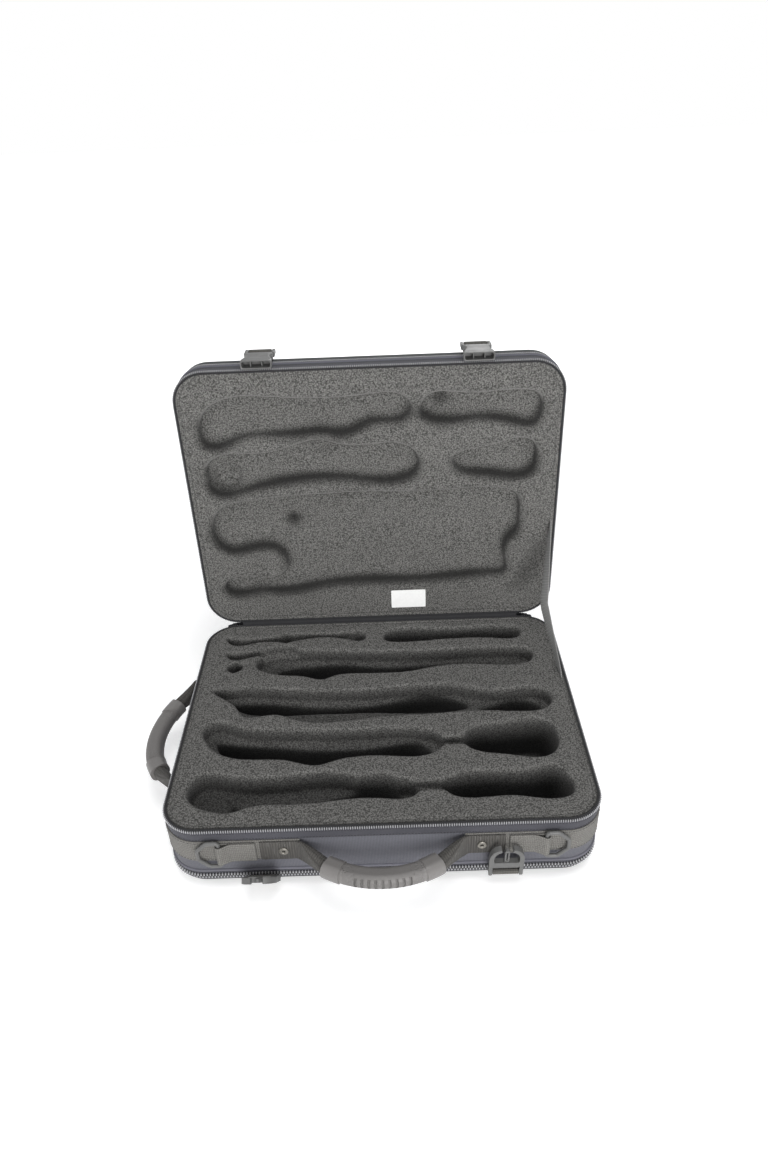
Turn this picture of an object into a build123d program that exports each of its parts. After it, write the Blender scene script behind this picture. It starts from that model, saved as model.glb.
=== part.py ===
from build123d import *
import os
from math import asin, cos, degrees, radians, sin

# Oboe case, soft-covered, with a zip lid and moulded plush inserts, shown with its lid open.
# Millimetres. X runs across the front to the right, Y from front to back, Z up.
# The origin is the middle of the face that the case lies on.

# Case body, outside
CASE_L = 420.0
CASE_W = 320.0
BASE_H = 82.0
LID_H = 49.0
CORNER_R = 35.0
BASE_EDGE_R = 16.0
LID_EDGE_R = 12.0

# Walls, from the outside in
SKIN_T = 1.5
SHELL_T = 3.0
LINING_GAP = 1.6
RIM_GAP = 0.6
SEAT = 0.3
BINDING_H = 1.5
BINDING_R = 0.6

# Lid hinge, a fabric tape at the back
LID_OPEN = 91.4
HINGE_BACK = 2.4
HINGE_FROM_END = 39.0
TAPE_T = 0.8
TAPE_H = 14.0
TAPE_BEND_R = 3.2

# Main zipper, one half on each rim
COIL_H = 3.6
COIL_PROUD = 1.6
COIL_EDGE = 1.0
ZIP_TAPE_PROUD = 0.5
ZIP_TAPE_H = 14.5
ZIP_END_FROM_END = 34.0

# Pocket zippers, below the base and on the lid
PANEL_SEAM_Z = 11.0
LOWER_ZIP_H = 12.0
LOWER_COIL_H = 6.4
LOWER_COIL_PROUD = 2.0
LOWER_COIL_EDGE = 1.5
LID_SEAM_Z = 28.5
LID_ZIP_H = 6.5
LID_COIL_H = 3.6
LID_COIL_PROUD = 1.4

# Piping cords
PIPING_H = 3.0
PIPING_PROUD = 1.4
PIPING_EDGE = 1.2

# Belt of webbing round the base
BELT_BELOW_RIM = 28.5
BELT_H = 27.0
BELT_T = 1.6
OVERLAY_T = 1.4
OVERLAY_H = 25.0

# Handles, one at the front and one on the left side
HANDLE_HALF = 78.0
HANDLE_DEPTH = 38.0
HANDLE_AXIS_OUT = 1.6
HANDLE_ABOVE_BELT = 1.5
FRONT_TILT = 6.0
SIDE_TILT = -12.0
SIDE_Y = -2.0
GRIP_HALF = 52.0
GRIP_SAG = 15.5
GRIP_W = 19.0
GRIP_H = 15.0
GRIP_ROUND = 6.4
COLLAR_GROW = 1.0
COLLAR_L = 17.0
RIB_COUNT = 9
RIB_PITCH = 5.8
RIB_SLOT = 2.6
RIB_DEPTH = 2.6
STRAP_TUBE_R = 7.4
BEND_OUT = 6.0
BEND_T = 6.5
BEND_H = 20.0
FLAT_L = 38.0
RIVET_IN = 16.0
RIVET_R = 4.6
RIVET_H = 1.7
RIVET_EYE_R = 1.5

# D-rings
RING_FROM_END = 55.5
RING_WIRE_R = 2.0
RING_W = 25.0
RING_H = 36.0
RING_BEVEL = 10.0
RING_BEND_R = 3.5
LOOP_H = 24.0
LOOP_CLEAR = 0.3
LOOP_WALL = 1.5
OVERLAY_GAP = 4.0

# Side-release buckles and their straps
BUCKLE_CLEAR = 1.9
BUCKLE_W = 33.0
WEBBING_W = 25.0
WEBBING_T = 1.2
BAR_R = 1.6
BAR_SPACING = 8.0
BUCKLE_GAP = 0.9
MALE_T = 5.5
MALE_PIVOT_Z = 18.0
LOWER_SEWN_ANGLE = 52.0
UPPER_SEWN_L = 24.0
MALE_RAIL_L = 12.0
MALE_BODY_L = 7.0
MALE_PRONG_L = 22.0
GUIDE_W = 4.5
GUIDE_T = 3.4
MALE_TILT_LEFT = 40.0
MALE_TILT_RIGHT = 8.0
FEMALE_T = 9.5
FEMALE_WALL = 1.6
FEMALE_L = 32.0
FEMALE_RAIL_L = 12.0
FEMALE_PAST_RIM = 1.0
RAIL_W = 3.6
RAIL_END = 3.2

# Zipper sliders and pulls
SLIDER_L = 12.0
SLIDER_W = 8.0
SLIDER_T = 2.6
BAIL_L = 7.6
BAIL_W = 2.2
BAIL_H = 3.4
BAIL_T = 1.0
PULL_L = 23.0
PULL_W = 7.0
PULL_T = 1.4
PULL_BAR = 1.6
PULL_WINDOW_L = 4.7
PULL_WINDOW_W = 3.0
MAIN_SLIDER_TURN = 14.0
LOWER_SLIDER_FROM_BACK = 60.0
LID_SLIDER_FROM_BACK = 68.0

# Stay strap, on the right between base and lid
STAY_T = 1.0
STAY_W = 14.0
STAY_BASE_Y = 49.0
STAY_LID_Y = 37.6
STAY_TAB = 11.0
STAY_SAG = (-10.2, 7.8, -14.0)

# Plush inserts
INSERT_UNDER = 6.0
INSERT_ROLL_R = 6.0
LIP_R = 3.2
WELL_EDGE_X = 13.9
WELL_EDGE_Y = 11.9
BELL_DEPTH = 56.0
JOINT_DEPTH = 46.0
LEDGE_DEPTH = 20.0
HIGH_LEDGE_DEPTH = 28.0
NECK_DEPTH = 13.0
NECK_L = 34.0
NECK_W = 13.0
GROOVE_LIP_R = 2.5
HOLE_DEPTH = 38.0
GROOVE_DEPTH = 13.0
LID_INSERT_T = 20.5
HOLLOW_DEPTH = 9.0
HOLLOW_LIP_R = 3.0
KEY_HOLLOW_EXTRA = 4.0

# Blank label plate on the lid's plush
LABEL_X = 37.0
LABEL_FROM_BACK = 26.5
LABEL_L = 42.0
LABEL_W = 25.0
LABEL_T = 0.8
LABEL_PROUD = 0.3

# Worked out from the sizes above
WALL = SKIN_T + SHELL_T
INSERT_GROW = -(WALL + LINING_GAP)
BACK_Y = CASE_W / 2
HINGE_Y = BACK_Y + HINGE_BACK
HINGE_Z = BASE_H + RIM_GAP / 2
CORE_TOP = BASE_H - BELL_DEPTH - INSERT_UNDER
HINGE_HALF = CASE_L / 2 - HINGE_FROM_END
ZIP_END_X = CASE_L / 2 - ZIP_END_FROM_END
BELT_Z = BASE_H - BELT_BELOW_RIM
HANDLE_Z = BELT_Z + HANDLE_ABOVE_BELT
RIVET_X = HANDLE_HALF + RIVET_IN
RING_X = CASE_L / 2 - RING_FROM_END
LOOP_FROM_X = HANDLE_HALF + FLAT_L + OVERLAY_GAP
BUCKLE_X = RIVET_X + RIVET_R + BUCKLE_CLEAR + BUCKLE_W / 2
LOWER_SLIDER_Y = BACK_Y - LOWER_SLIDER_FROM_BACK
LID_SLIDER_Y = BACK_Y - LID_SLIDER_FROM_BACK
LABEL_Y = BACK_Y - LABEL_FROM_BACK

open_sin = sin(radians(LID_OPEN))
open_cos = cos(radians(LID_OPEN))
# The lid's own frame: X and Y as on the closed case, Z out from the lid's rim
LID = Plane(
    origin=(
        0,
        HINGE_Y - HINGE_Y * open_cos + RIM_GAP / 2 * open_sin,
        HINGE_Z + HINGE_Y * open_sin + RIM_GAP / 2 * open_cos,
    ),
    x_dir=(1, 0, 0),
    z_dir=(0, open_sin, open_cos),
)


def lid_vector(x, y, z):
    """A direction given in the lid's frame, in the case's frame."""
    return LID.x_dir * x + LID.y_dir * y + LID.z_dir * z


def lid_plane(origin, x_dir, z_dir):
    """A plane given in the lid's frame, in the case's frame."""
    return Plane(
        origin=LID.from_local_coords(Vector(*origin)),
        x_dir=lid_vector(*x_dir),
        z_dir=lid_vector(*z_dir),
    )


def save(builder, name):
    """Label a finished sub-part and write it to its own file."""
    builder.part.label = name
    export_step(builder.part, f"parts/{name}.step")


def plan(grow, mode=Mode.ADD):
    """The case's outline seen from above, grown outward."""
    return RectangleRounded(CASE_L + 2 * grow, CASE_W + 2 * grow, CORNER_R + grow, mode=mode)


def tub(base, grow, height, edge_r):
    """A block of the case's outline on a plane, with the edge on that plane rounded."""
    with BuildPart() as block:
        with BuildSketch(base):
            plan(grow)
        extrude(amount=height)
        fillet(block.faces().sort_by(Axis(base.origin, base.z_dir))[0].edges(), edge_r)
    return block.part


def band(base, start, height, proud, edge=0.0, inner=0.0):
    """A band of webbing, tape or cord round the case, its outer edges eased."""
    with BuildPart() as ring:
        with BuildSketch(base.offset(start)):
            plan(proud)
        extrude(amount=height)
        if edge:
            fillet(ring.faces().filter_by(base).edges(), edge)
        with BuildSketch(base.offset(start)):
            plan(inner)
        extrude(amount=height, mode=Mode.SUBTRACT)
    return ring.part


os.makedirs("parts", exist_ok=True)

# Blocks that the walls of the base and the lid are cut from
LID_FACE = lid_plane((0, 0, LID_H), (1, 0, 0), (0, 0, -1))
base_outside = tub(Plane.XY, 0, BASE_H, BASE_EDGE_R)
base_lining = tub(Plane.XY.offset(SKIN_T), -SKIN_T, BASE_H, BASE_EDGE_R - SKIN_T)
base_inside = tub(Plane.XY.offset(WALL), -WALL, BASE_H, BASE_EDGE_R - WALL)
lid_outside = tub(LID_FACE, 0, LID_H, LID_EDGE_R)
lid_lining = tub(LID_FACE.offset(SKIN_T), -SKIN_T, LID_H, LID_EDGE_R - SKIN_T)
lid_inside = tub(LID_FACE.offset(WALL), -WALL, LID_H, LID_EDGE_R - WALL)

# Base: bottom pocket panel
with BuildPart() as bottom_panel:
    add(base_outside)
    add(base_lining, mode=Mode.SUBTRACT)
    split(bisect_by=Plane.XY.offset(PANEL_SEAM_Z), keep=Keep.BOTTOM)
save(bottom_panel, "bottom_panel")

# Base: zipper of the bottom pocket, closed
lower_zip_mid = PANEL_SEAM_Z + LOWER_ZIP_H / 2
lower_coil = band(
    Plane.XY, lower_zip_mid - LOWER_COIL_H / 2, LOWER_COIL_H, LOWER_COIL_PROUD, LOWER_COIL_EDGE,
    -SKIN_T,
)
with BuildPart() as lower_zipper:
    add(base_outside)
    add(base_lining, mode=Mode.SUBTRACT)
    split(bisect_by=Plane.XY.offset(PANEL_SEAM_Z), keep=Keep.TOP)
    split(bisect_by=Plane.XY.offset(PANEL_SEAM_Z + LOWER_ZIP_H), keep=Keep.BOTTOM)
    add(lower_coil)
save(lower_zipper, "lower_zipper")

# Base: fabric cover of the side walls
cover_from = PANEL_SEAM_Z + LOWER_ZIP_H
with BuildPart() as base_cover:
    with BuildSketch(Plane.XY.offset(cover_from)):
        plan(0)
        plan(-SKIN_T, mode=Mode.SUBTRACT)
    extrude(amount=BASE_H - BINDING_H - cover_from)
save(base_cover, "base_cover")

# Base: piping cord over the pocket zipper
lower_piping = band(Plane.XY, cover_from, PIPING_H, PIPING_PROUD, PIPING_EDGE)
with BuildPart() as base_piping:
    add(lower_piping)
save(base_piping, "base_piping")

# Base: stiff inner shell
with BuildPart() as base_shell:
    add(base_lining)
    add(base_inside, mode=Mode.SUBTRACT)
    split(bisect_by=Plane.XY.offset(BASE_H - BINDING_H), keep=Keep.BOTTOM)
save(base_shell, "base_shell")

# Base: binding over the rim
with BuildPart() as base_rim_binding:
    with BuildSketch(Plane.XY.offset(BASE_H - BINDING_H)):
        plan(0)
        plan(-WALL, mode=Mode.SUBTRACT)
    extrude(amount=BINDING_H)
    fillet(base_rim_binding.faces().sort_by(Axis.Z)[-1].edges(), BINDING_R)
save(base_rim_binding, "base_rim_binding")

# Base: its half of the main zipper, tape and coil
main_coil = band(Plane.XY, BASE_H - COIL_H - SEAT, COIL_H, COIL_PROUD, COIL_EDGE)
with BuildPart() as main_zipper_base:
    with BuildSketch(Plane.XY.offset(BASE_H - ZIP_TAPE_H)):
        plan(ZIP_TAPE_PROUD)
        plan(0, mode=Mode.SUBTRACT)
    extrude(amount=ZIP_TAPE_H - COIL_H / 2)
    add(main_coil)
    with Locations((0, BACK_Y, BASE_H)):
        Box(2 * ZIP_END_X, CORNER_R, 4 * ZIP_TAPE_H, mode=Mode.SUBTRACT)
save(main_zipper_base, "main_zipper_base")

# Base: belt of webbing, open where the two handles leave it
with BuildPart() as belt_webbing:
    with BuildSketch(Plane.XY.offset(BELT_Z - BELT_H / 2)):
        plan(BELT_T)
        plan(0, mode=Mode.SUBTRACT)
    extrude(amount=BELT_H)
    with Locations((0, -BACK_Y, BELT_Z)):
        Box(2 * HANDLE_HALF, CORNER_R, 2 * BELT_H, mode=Mode.SUBTRACT)
    with Locations((-CASE_L / 2, SIDE_Y, BELT_Z)):
        Box(CORNER_R, 2 * HANDLE_HALF, 2 * BELT_H, mode=Mode.SUBTRACT)
save(belt_webbing, "belt_webbing")

# Base: foam core under the plush
with BuildPart() as base_core:
    add(tub(Plane.XY.offset(WALL), INSERT_GROW, BASE_H, BASE_EDGE_R - WALL))
    split(bisect_by=Plane.XY.offset(CORE_TOP), keep=Keep.BOTTOM)
save(base_core, "base_core")

# Base insert: outlines of the wells, as points on smooth closed curves
FRONT_JOINT = [
    (-190, -98), (-183, -89), (-150, -91), (-90, -92), (-32, -93), (-14, -100), (26, -102),
    (37, -109), (36, -121), (26, -127), (0, -126), (-40, -127), (-92, -131), (-125, -132), (-146, -139),
    (-167, -136), (-185, -126),
]
FRONT_JOINT_DEEP = [
    (-150, -97), (-30, -98), (24, -108), (28, -119), (0, -119), (-92, -123), (-140, -128),
    (-152, -112),
]
FRONT_BELL = [
    (61, -104), (78, -97), (110, -94), (150, -94), (174, -90), (184, -102), (185, -128),
    (174, -133), (130, -128), (84, -129), (64, -120),
]
SECOND_JOINT = [
    (-189, -20), (-182, -13), (-150, -21), (-100, -28), (-40, -31), (46, -33), (62, -41),
    (64, -58), (52, -69), (0, -70), (-36, -72), (-50, -76), (-65, -81), (-80, -78), (-98, -72),
    (-150, -68), (-172, -57), (-187, -38),
]
SECOND_JOINT_DEEP = [
    (-176, -25), (-150, -30), (-100, -36), (0, -39), (50, -42), (55, -54), (44, -61), (-50, -63),
    (-120, -63), (-152, -57), (-172, -42),
]
SECOND_BELL = [
    (86, -48), (94, -34), (120, -28), (150, -23), (176, -26), (184, -42), (182, -66), (170, -77),
    (150, -78), (126, -73), (96, -66),
]
THIRD_JOINT = [
    (-188, 41), (-140, 42), (-100, 37), (0, 34), (96, 33), (118, 26), (150, 27), (182, 24),
    (189, 8), (180, -7), (155, -11), (100, -8), (60, -10), (0, -13), (-92, -13), (-118, -4),
    (-148, -6), (-160, 10), (-180, 28),
]
THIRD_JOINT_DEEP = [
    (-172, 36), (-140, 36), (-100, 31), (0, 28), (92, 27), (100, 19), (88, 14), (0, 14),
    (-100, 14), (-146, 17), (-164, 26),
]
THIRD_END_DEEP = [(114, 16), (130, 21), (176, 19), (182, 8), (174, -2), (136, -3), (114, 2)]
FOURTH_JOINT = [
    (-146, 86), (-142, 74), (-128, 66), (-100, 60), (-82, 57), (-68, 52), (-52, 58), (-30, 61),
    (35, 62), (62, 68), (110, 71), (160, 68), (176, 74), (178, 94), (162, 100), (60, 100),
    (-40, 104), (-100, 108), (-136, 102),
]
FOURTH_JOINT_DEEP = [
    (-122, 84), (-100, 70), (-60, 67), (0, 70), (60, 76), (150, 78), (166, 86), (150, 91),
    (0, 93), (-100, 97),
]
TOOL_GROOVE = [
    (-188, 137), (-150, 132), (-114, 138), (-80, 139), (-50, 138), (-20, 136), (-18, 124),
    (-34, 123), (-52, 129), (-80, 130), (-112, 124), (-150, 124), (-186, 129),
]
REED_SLOT = [
    (4, 129), (8, 138), (18, 142), (60, 142), (120, 142), (160, 142), (170, 138), (172, 129),
    (168, 120), (140, 118), (100, 120), (50, 118), (16, 118), (7, 121),
]
BOCAL_SLOT = [(-186, 108), (-140, 111), (-96, 108), (-92, 100), (-140, 99), (-184, 101)]
SMALL_HOLES = [(-170, 78, 10), (-114, 131, 10)]
WIDE_HOLE_X = -26.0
WIDE_HOLE_Y = 130.0
WIDE_HOLE_R = 10.0
NECKS = [(49, -112), (75, -52)]

# The wells' plan is stretched to fill the insert, clear of its edge by the named margins
well_points = FRONT_JOINT + FRONT_BELL + SECOND_JOINT + THIRD_JOINT + FOURTH_JOINT + REED_SLOT
STRETCH_X = (CASE_L / 2 + INSERT_GROW - WELL_EDGE_X) / max(abs(x) for x, y in well_points)
STRETCH_Y = (CASE_W / 2 + INSERT_GROW - WELL_EDGE_Y) / max(abs(y) for x, y in well_points)


def laid(x, y):
    """A point of the wells' plan, laid on the insert."""
    return x * STRETCH_X, y * STRETCH_Y


def pocket(outline, depth, lip):
    """Cut a well of a closed smooth outline from the insert's face, its lip rolled."""
    with BuildSketch(INSERT_FACE) as opening:
        with BuildLine():
            Spline(*[laid(x, y) for x, y in outline], periodic=True)
        make_face()
    extrude(opening.sketch, amount=-depth, mode=Mode.SUBTRACT)
    if lip:
        fillet(edges(Select.LAST).filter_by(on_face), lip)


def on_face(edge):
    """Whether an edge lies in the insert's face."""
    ends = [INSERT_FACE.to_local_coords(edge.position_at(t)).Z for t in (0, 0.3, 0.7)]
    return max(abs(z) for z in ends) < 1e-4


# Base insert: moulded plush with the wells of the instrument
INSERT_FACE = Plane.XY.offset(BASE_H)
with BuildPart() as base_insert:
    with BuildSketch(Plane.XY.offset(CORE_TOP)):
        plan(INSERT_GROW)
    extrude(amount=BASE_H - CORE_TOP)
    fillet(base_insert.faces().sort_by(Axis.Z)[-1].edges(), INSERT_ROLL_R)
    pocket(FRONT_JOINT, HIGH_LEDGE_DEPTH, LIP_R)
    pocket(FRONT_JOINT_DEEP, JOINT_DEPTH, 0)
    pocket(FRONT_BELL, BELL_DEPTH, LIP_R)
    pocket(SECOND_JOINT, LEDGE_DEPTH, LIP_R)
    pocket(SECOND_JOINT_DEEP, JOINT_DEPTH, 0)
    pocket(SECOND_BELL, BELL_DEPTH, LIP_R)
    pocket(THIRD_JOINT, LEDGE_DEPTH, LIP_R)
    pocket(THIRD_JOINT_DEEP, JOINT_DEPTH, 0)
    pocket(THIRD_END_DEEP, JOINT_DEPTH, 0)
    pocket(FOURTH_JOINT, LEDGE_DEPTH, LIP_R)
    pocket(FOURTH_JOINT_DEEP, JOINT_DEPTH, 0)
    pocket(REED_SLOT, HIGH_LEDGE_DEPTH, LIP_R)
    pocket(TOOL_GROOVE, GROOVE_DEPTH, GROOVE_LIP_R)
    pocket(BOCAL_SLOT, GROOVE_DEPTH, 0)
    for x, y, r in SMALL_HOLES:
        with Locations((*laid(x, y), BASE_H)):
            Hole(r, depth=HOLE_DEPTH)
    with Locations((*laid(WIDE_HOLE_X, WIDE_HOLE_Y), BASE_H)):
        Hole(WIDE_HOLE_R, depth=HOLE_DEPTH)
    for x, y in NECKS:
        with BuildSketch(INSERT_FACE):
            with Locations(laid(x, y)):
                RectangleRounded(NECK_L, NECK_W, NECK_W / 3)
        extrude(amount=-NECK_DEPTH, mode=Mode.SUBTRACT)
save(base_insert, "base_insert")


# Frames on the walls that carry the handles: X along the wall, Y out of it, Z up
FRONT_WALL = Plane(origin=(0, -CASE_W / 2, 0), x_dir=(-1, 0, 0), z_dir=(0, 0, 1))
LEFT_WALL = Plane(origin=(-CASE_L / 2, SIDE_Y, 0), x_dir=(0, 1, 0), z_dir=(0, 0, 1))


def tilted(wall, tilt):
    """The frame of a handle on a wall, its Y leaning up by the tilt, about the swing axis."""
    up = wall.z_dir * cos(radians(tilt)) - wall.y_dir * sin(radians(tilt))
    out = BELT_T + HANDLE_AXIS_OUT
    return Plane(
        origin=wall.from_local_coords(Vector(0, out, HANDLE_Z)), x_dir=wall.x_dir, z_dir=up
    )


grip_r = (GRIP_HALF**2 + GRIP_SAG**2) / (2 * GRIP_SAG)
grip_angle = degrees(asin(GRIP_HALF / grip_r))
collar_angle = degrees(COLLAR_L / grip_r)
rib_span = degrees((RIB_COUNT - 1) * RIB_PITCH / grip_r)


def arc_plane(frame, angle):
    """The section plane of a grip at an angle along its arc, X up and Y outward."""
    turn = radians(angle)
    radial = frame.y_dir * cos(turn) + frame.x_dir * sin(turn)
    tangent = frame.x_dir * cos(turn) - frame.y_dir * sin(turn)
    centre = frame.from_local_coords(Vector(0, HANDLE_DEPTH - grip_r, 0))
    return Plane(origin=centre + radial * grip_r, x_dir=-frame.z_dir, z_dir=tangent)


# Handle grips: moulded rubber with a rib field on the outer side and a collar at each end
GRIPS = {"front_handle": (FRONT_WALL, FRONT_TILT), "side_handle": (LEFT_WALL, SIDE_TILT)}
for name, (wall, tilt) in GRIPS.items():
    frame = tilted(wall, tilt)
    middle = frame.from_local_coords(Vector(0, HANDLE_DEPTH - grip_r, 0))
    bend = Axis(middle, -frame.z_dir)
    with BuildPart() as grip:
        with BuildSketch(arc_plane(frame, -grip_angle)):
            RectangleRounded(GRIP_H, GRIP_W, GRIP_ROUND)
        revolve(axis=bend, revolution_arc=2 * grip_angle)
        for start in (-grip_angle, grip_angle - collar_angle):
            with BuildSketch(arc_plane(frame, start)):
                RectangleRounded(
                    GRIP_H + 2 * COLLAR_GROW, GRIP_W + 2 * COLLAR_GROW, GRIP_ROUND + COLLAR_GROW
                )
            revolve(axis=bend, revolution_arc=collar_angle)
        hub = Plane(origin=middle, x_dir=frame.x_dir, z_dir=frame.z_dir)
        slot_r = grip_r + GRIP_W / 2
        with Locations(hub):
            with PolarLocations(slot_r, RIB_COUNT, 90 - rib_span / 2, rib_span, endpoint=True):
                Box(2 * RIB_DEPTH, RIB_SLOT, GRIP_H * 0.74, mode=Mode.SUBTRACT)
    save(grip, f"{name}_grip")

    # Its webbing: a flat end riveted to the belt, folded out and rolled into a tube
    with BuildPart() as webbing:
        for side in (-1, 1):
            flat_mid = side * (HANDLE_HALF + FLAT_L / 2)
            flat_face = wall.from_local_coords(Vector(flat_mid, BELT_T + OVERLAY_T / 2, BELT_Z))
            with Locations(Plane(origin=flat_face, x_dir=wall.x_dir, z_dir=wall.z_dir)):
                Box(FLAT_L, OVERLAY_T, OVERLAY_H)
            fold = wall.from_local_coords(
                Vector(side * HANDLE_HALF, BELT_T + OVERLAY_T / 2, BELT_Z)
            )
            tube_end = arc_plane(frame, side * (grip_angle + degrees(SEAT / grip_r)))
            tube_end = Plane(
                origin=tube_end.origin, x_dir=tube_end.x_dir, z_dir=-side * tube_end.z_dir
            )
            half_way = frame.from_local_coords(
                Vector(side * (HANDLE_HALF - 6.5), BEND_OUT, 0)
            )
            with BuildSketch(Plane(origin=fold, x_dir=-wall.z_dir, z_dir=-side * wall.x_dir)):
                RectangleRounded(OVERLAY_H, OVERLAY_T, OVERLAY_T * 0.4)
            with BuildSketch(
                Plane(
                    origin=half_way,
                    x_dir=-frame.z_dir,
                    z_dir=(frame.y_dir * 0.8 - frame.x_dir * side * 0.6),
                )
            ):
                RectangleRounded(BEND_H, BEND_T, BEND_T * 0.45)
            with BuildSketch(tube_end):
                RectangleRounded(2 * STRAP_TUBE_R, 2 * STRAP_TUBE_R, STRAP_TUBE_R * 0.95)
            loft()
    save(webbing, f"{name}_webbing")

# Rivets through the flat ends of the handle webbing
with BuildPart() as handle_rivets:
    for wall in (FRONT_WALL, LEFT_WALL):
        for side in (-1, 1):
            seat = wall.from_local_coords(Vector(side * RIVET_X, BELT_T + OVERLAY_T, BELT_Z))
            with BuildSketch(Plane(origin=seat, x_dir=wall.x_dir, z_dir=wall.y_dir)):
                Circle(RIVET_R)
                Circle(RIVET_EYE_R, mode=Mode.SUBTRACT)
            extrude(amount=RIVET_H)
            fillet(edges(Select.LAST).filter_by(GeomType.CIRCLE).sort_by(
                Axis(seat, wall.y_dir))[-2:], RIVET_H * 0.5)
save(handle_rivets, "handle_rivets")

# D-rings and the webbing loops that hold them
ring_out = BELT_T + LOOP_WALL + LOOP_CLEAR + RING_WIRE_R
loop_r = LOOP_WALL + LOOP_CLEAR + RING_WIRE_R
with BuildPart() as d_ring_loops:
    with BuildSketch(Plane.XY.offset(BELT_Z - LOOP_H / 2)):
        for side in (-1, 1):
            plate_mid = (LOOP_FROM_X + RING_X) / 2
            with Locations((side * plate_mid, -(CASE_W / 2 + BELT_T + LOOP_WALL / 2))):
                Rectangle(RING_X - LOOP_FROM_X, LOOP_WALL)
            with Locations((side * RING_X, -(CASE_W / 2 + ring_out))):
                Circle(loop_r)
                Circle(loop_r - LOOP_WALL, mode=Mode.SUBTRACT)
    extrude(amount=LOOP_H)
save(d_ring_loops, "d_ring_loops")

for side, name in ((-1, "d_ring_left"), (1, "d_ring_right")):
    ring_plane = Plane(
        origin=(side * RING_X, -(CASE_W / 2 + ring_out), BELT_Z),
        x_dir=(side, 0, 0),
        z_dir=(0, -side, 0),
    )
    half_h = RING_H / 2 - RING_WIRE_R
    bow = RING_W - 2 * RING_WIRE_R
    with BuildPart() as ring:
        with BuildLine(ring_plane) as ring_line:
            FilletPolyline(
                (0, -half_h),
                (0, half_h),
                (bow - RING_BEVEL, half_h),
                (bow, half_h - RING_BEVEL),
                (bow, RING_BEVEL - half_h),
                (bow - RING_BEVEL, -half_h),
                radius=RING_BEND_R,
                close=True,
            )
        start = ring_plane.from_local_coords(Vector(0, 0, 0))
        with BuildSketch(Plane(origin=start, x_dir=ring_plane.x_dir, z_dir=ring_plane.y_dir)):
            Circle(RING_WIRE_R)
        sweep(path=ring_line.wires()[0])
    save(ring, name)


def buckle_end(plane, reach):
    """The two rails and two bars at a buckle's strap end, about the bar that it turns on."""
    with BuildSketch(plane) as rails:
        for edge in (-1, 1):
            with Locations((edge * (BUCKLE_W - RAIL_W) / 2, (reach - RAIL_END) / 2)):
                RectangleRounded(RAIL_W, reach + RAIL_END, RAIL_W * 0.3)
    extrude(rails.sketch, amount=MALE_T / 2, both=True)
    across = Plane(origin=plane.origin, x_dir=plane.y_dir, z_dir=plane.x_dir)
    with BuildSketch(across) as bars:
        Circle(BAR_R)
        with Locations((BAR_SPACING, 0)):
            Circle(BAR_R * 0.8)
    extrude(bars.sketch, amount=BUCKLE_W / 2 - RAIL_W / 2, both=True)


# Male halves of the buckles, on the straps at the foot of the base
male_out = OVERLAY_T + BELT_T + BUCKLE_GAP + MALE_T / 2
prong_base = MALE_RAIL_L + MALE_BODY_L
MALE_TILTS = {"left": MALE_TILT_LEFT, "right": MALE_TILT_RIGHT}
for side, hand in ((-1, "left"), (1, "right")):
    tilt = radians(MALE_TILTS[hand])
    male_plane = Plane(
        origin=(side * BUCKLE_X, -(CASE_W / 2 + male_out), MALE_PIVOT_Z),
        x_dir=(1, 0, 0),
        z_dir=(0, -cos(tilt), -sin(tilt)),
    )
    with BuildPart() as male:
        buckle_end(male_plane, MALE_RAIL_L + 1)
        with BuildSketch(male_plane):
            with Locations((0, MALE_RAIL_L + MALE_BODY_L / 2)):
                RectangleRounded(BUCKLE_W, MALE_BODY_L, 1.5)
            for edge in (-1, 1):
                with BuildLine():
                    outer = Spline(
                        (edge * BUCKLE_W / 2, prong_base - 2),
                        (edge * (BUCKLE_W / 2 - 0.5), prong_base + MALE_PRONG_L * 0.45),
                        (edge * BUCKLE_W * 0.38, prong_base + MALE_PRONG_L * 0.82),
                        (edge * BUCKLE_W * 0.18, prong_base + MALE_PRONG_L),
                    )
                    inner = Spline(
                        (edge * BUCKLE_W * 0.15, prong_base + MALE_PRONG_L * 0.84),
                        (edge * BUCKLE_W * 0.3, prong_base + MALE_PRONG_L * 0.66),
                        (edge * BUCKLE_W * 0.37, prong_base + MALE_PRONG_L * 0.34),
                        (edge * BUCKLE_W * 0.33, prong_base - 2),
                    )
                    Line(outer @ 1, inner @ 0)
                    Line(inner @ 1, outer @ 0)
                make_face()
        extrude(amount=MALE_T / 2, both=True)
        with BuildSketch(male_plane):
            with Locations((0, prong_base + MALE_PRONG_L * 0.42)):
                RectangleRounded(GUIDE_W, MALE_PRONG_L * 0.9, GUIDE_W * 0.4)
                Rectangle(GUIDE_W * 0.3, MALE_PRONG_L * 0.6, mode=Mode.SUBTRACT)
        extrude(amount=GUIDE_T / 2, both=True)
    save(male, f"male_buckle_{hand}")

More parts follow.
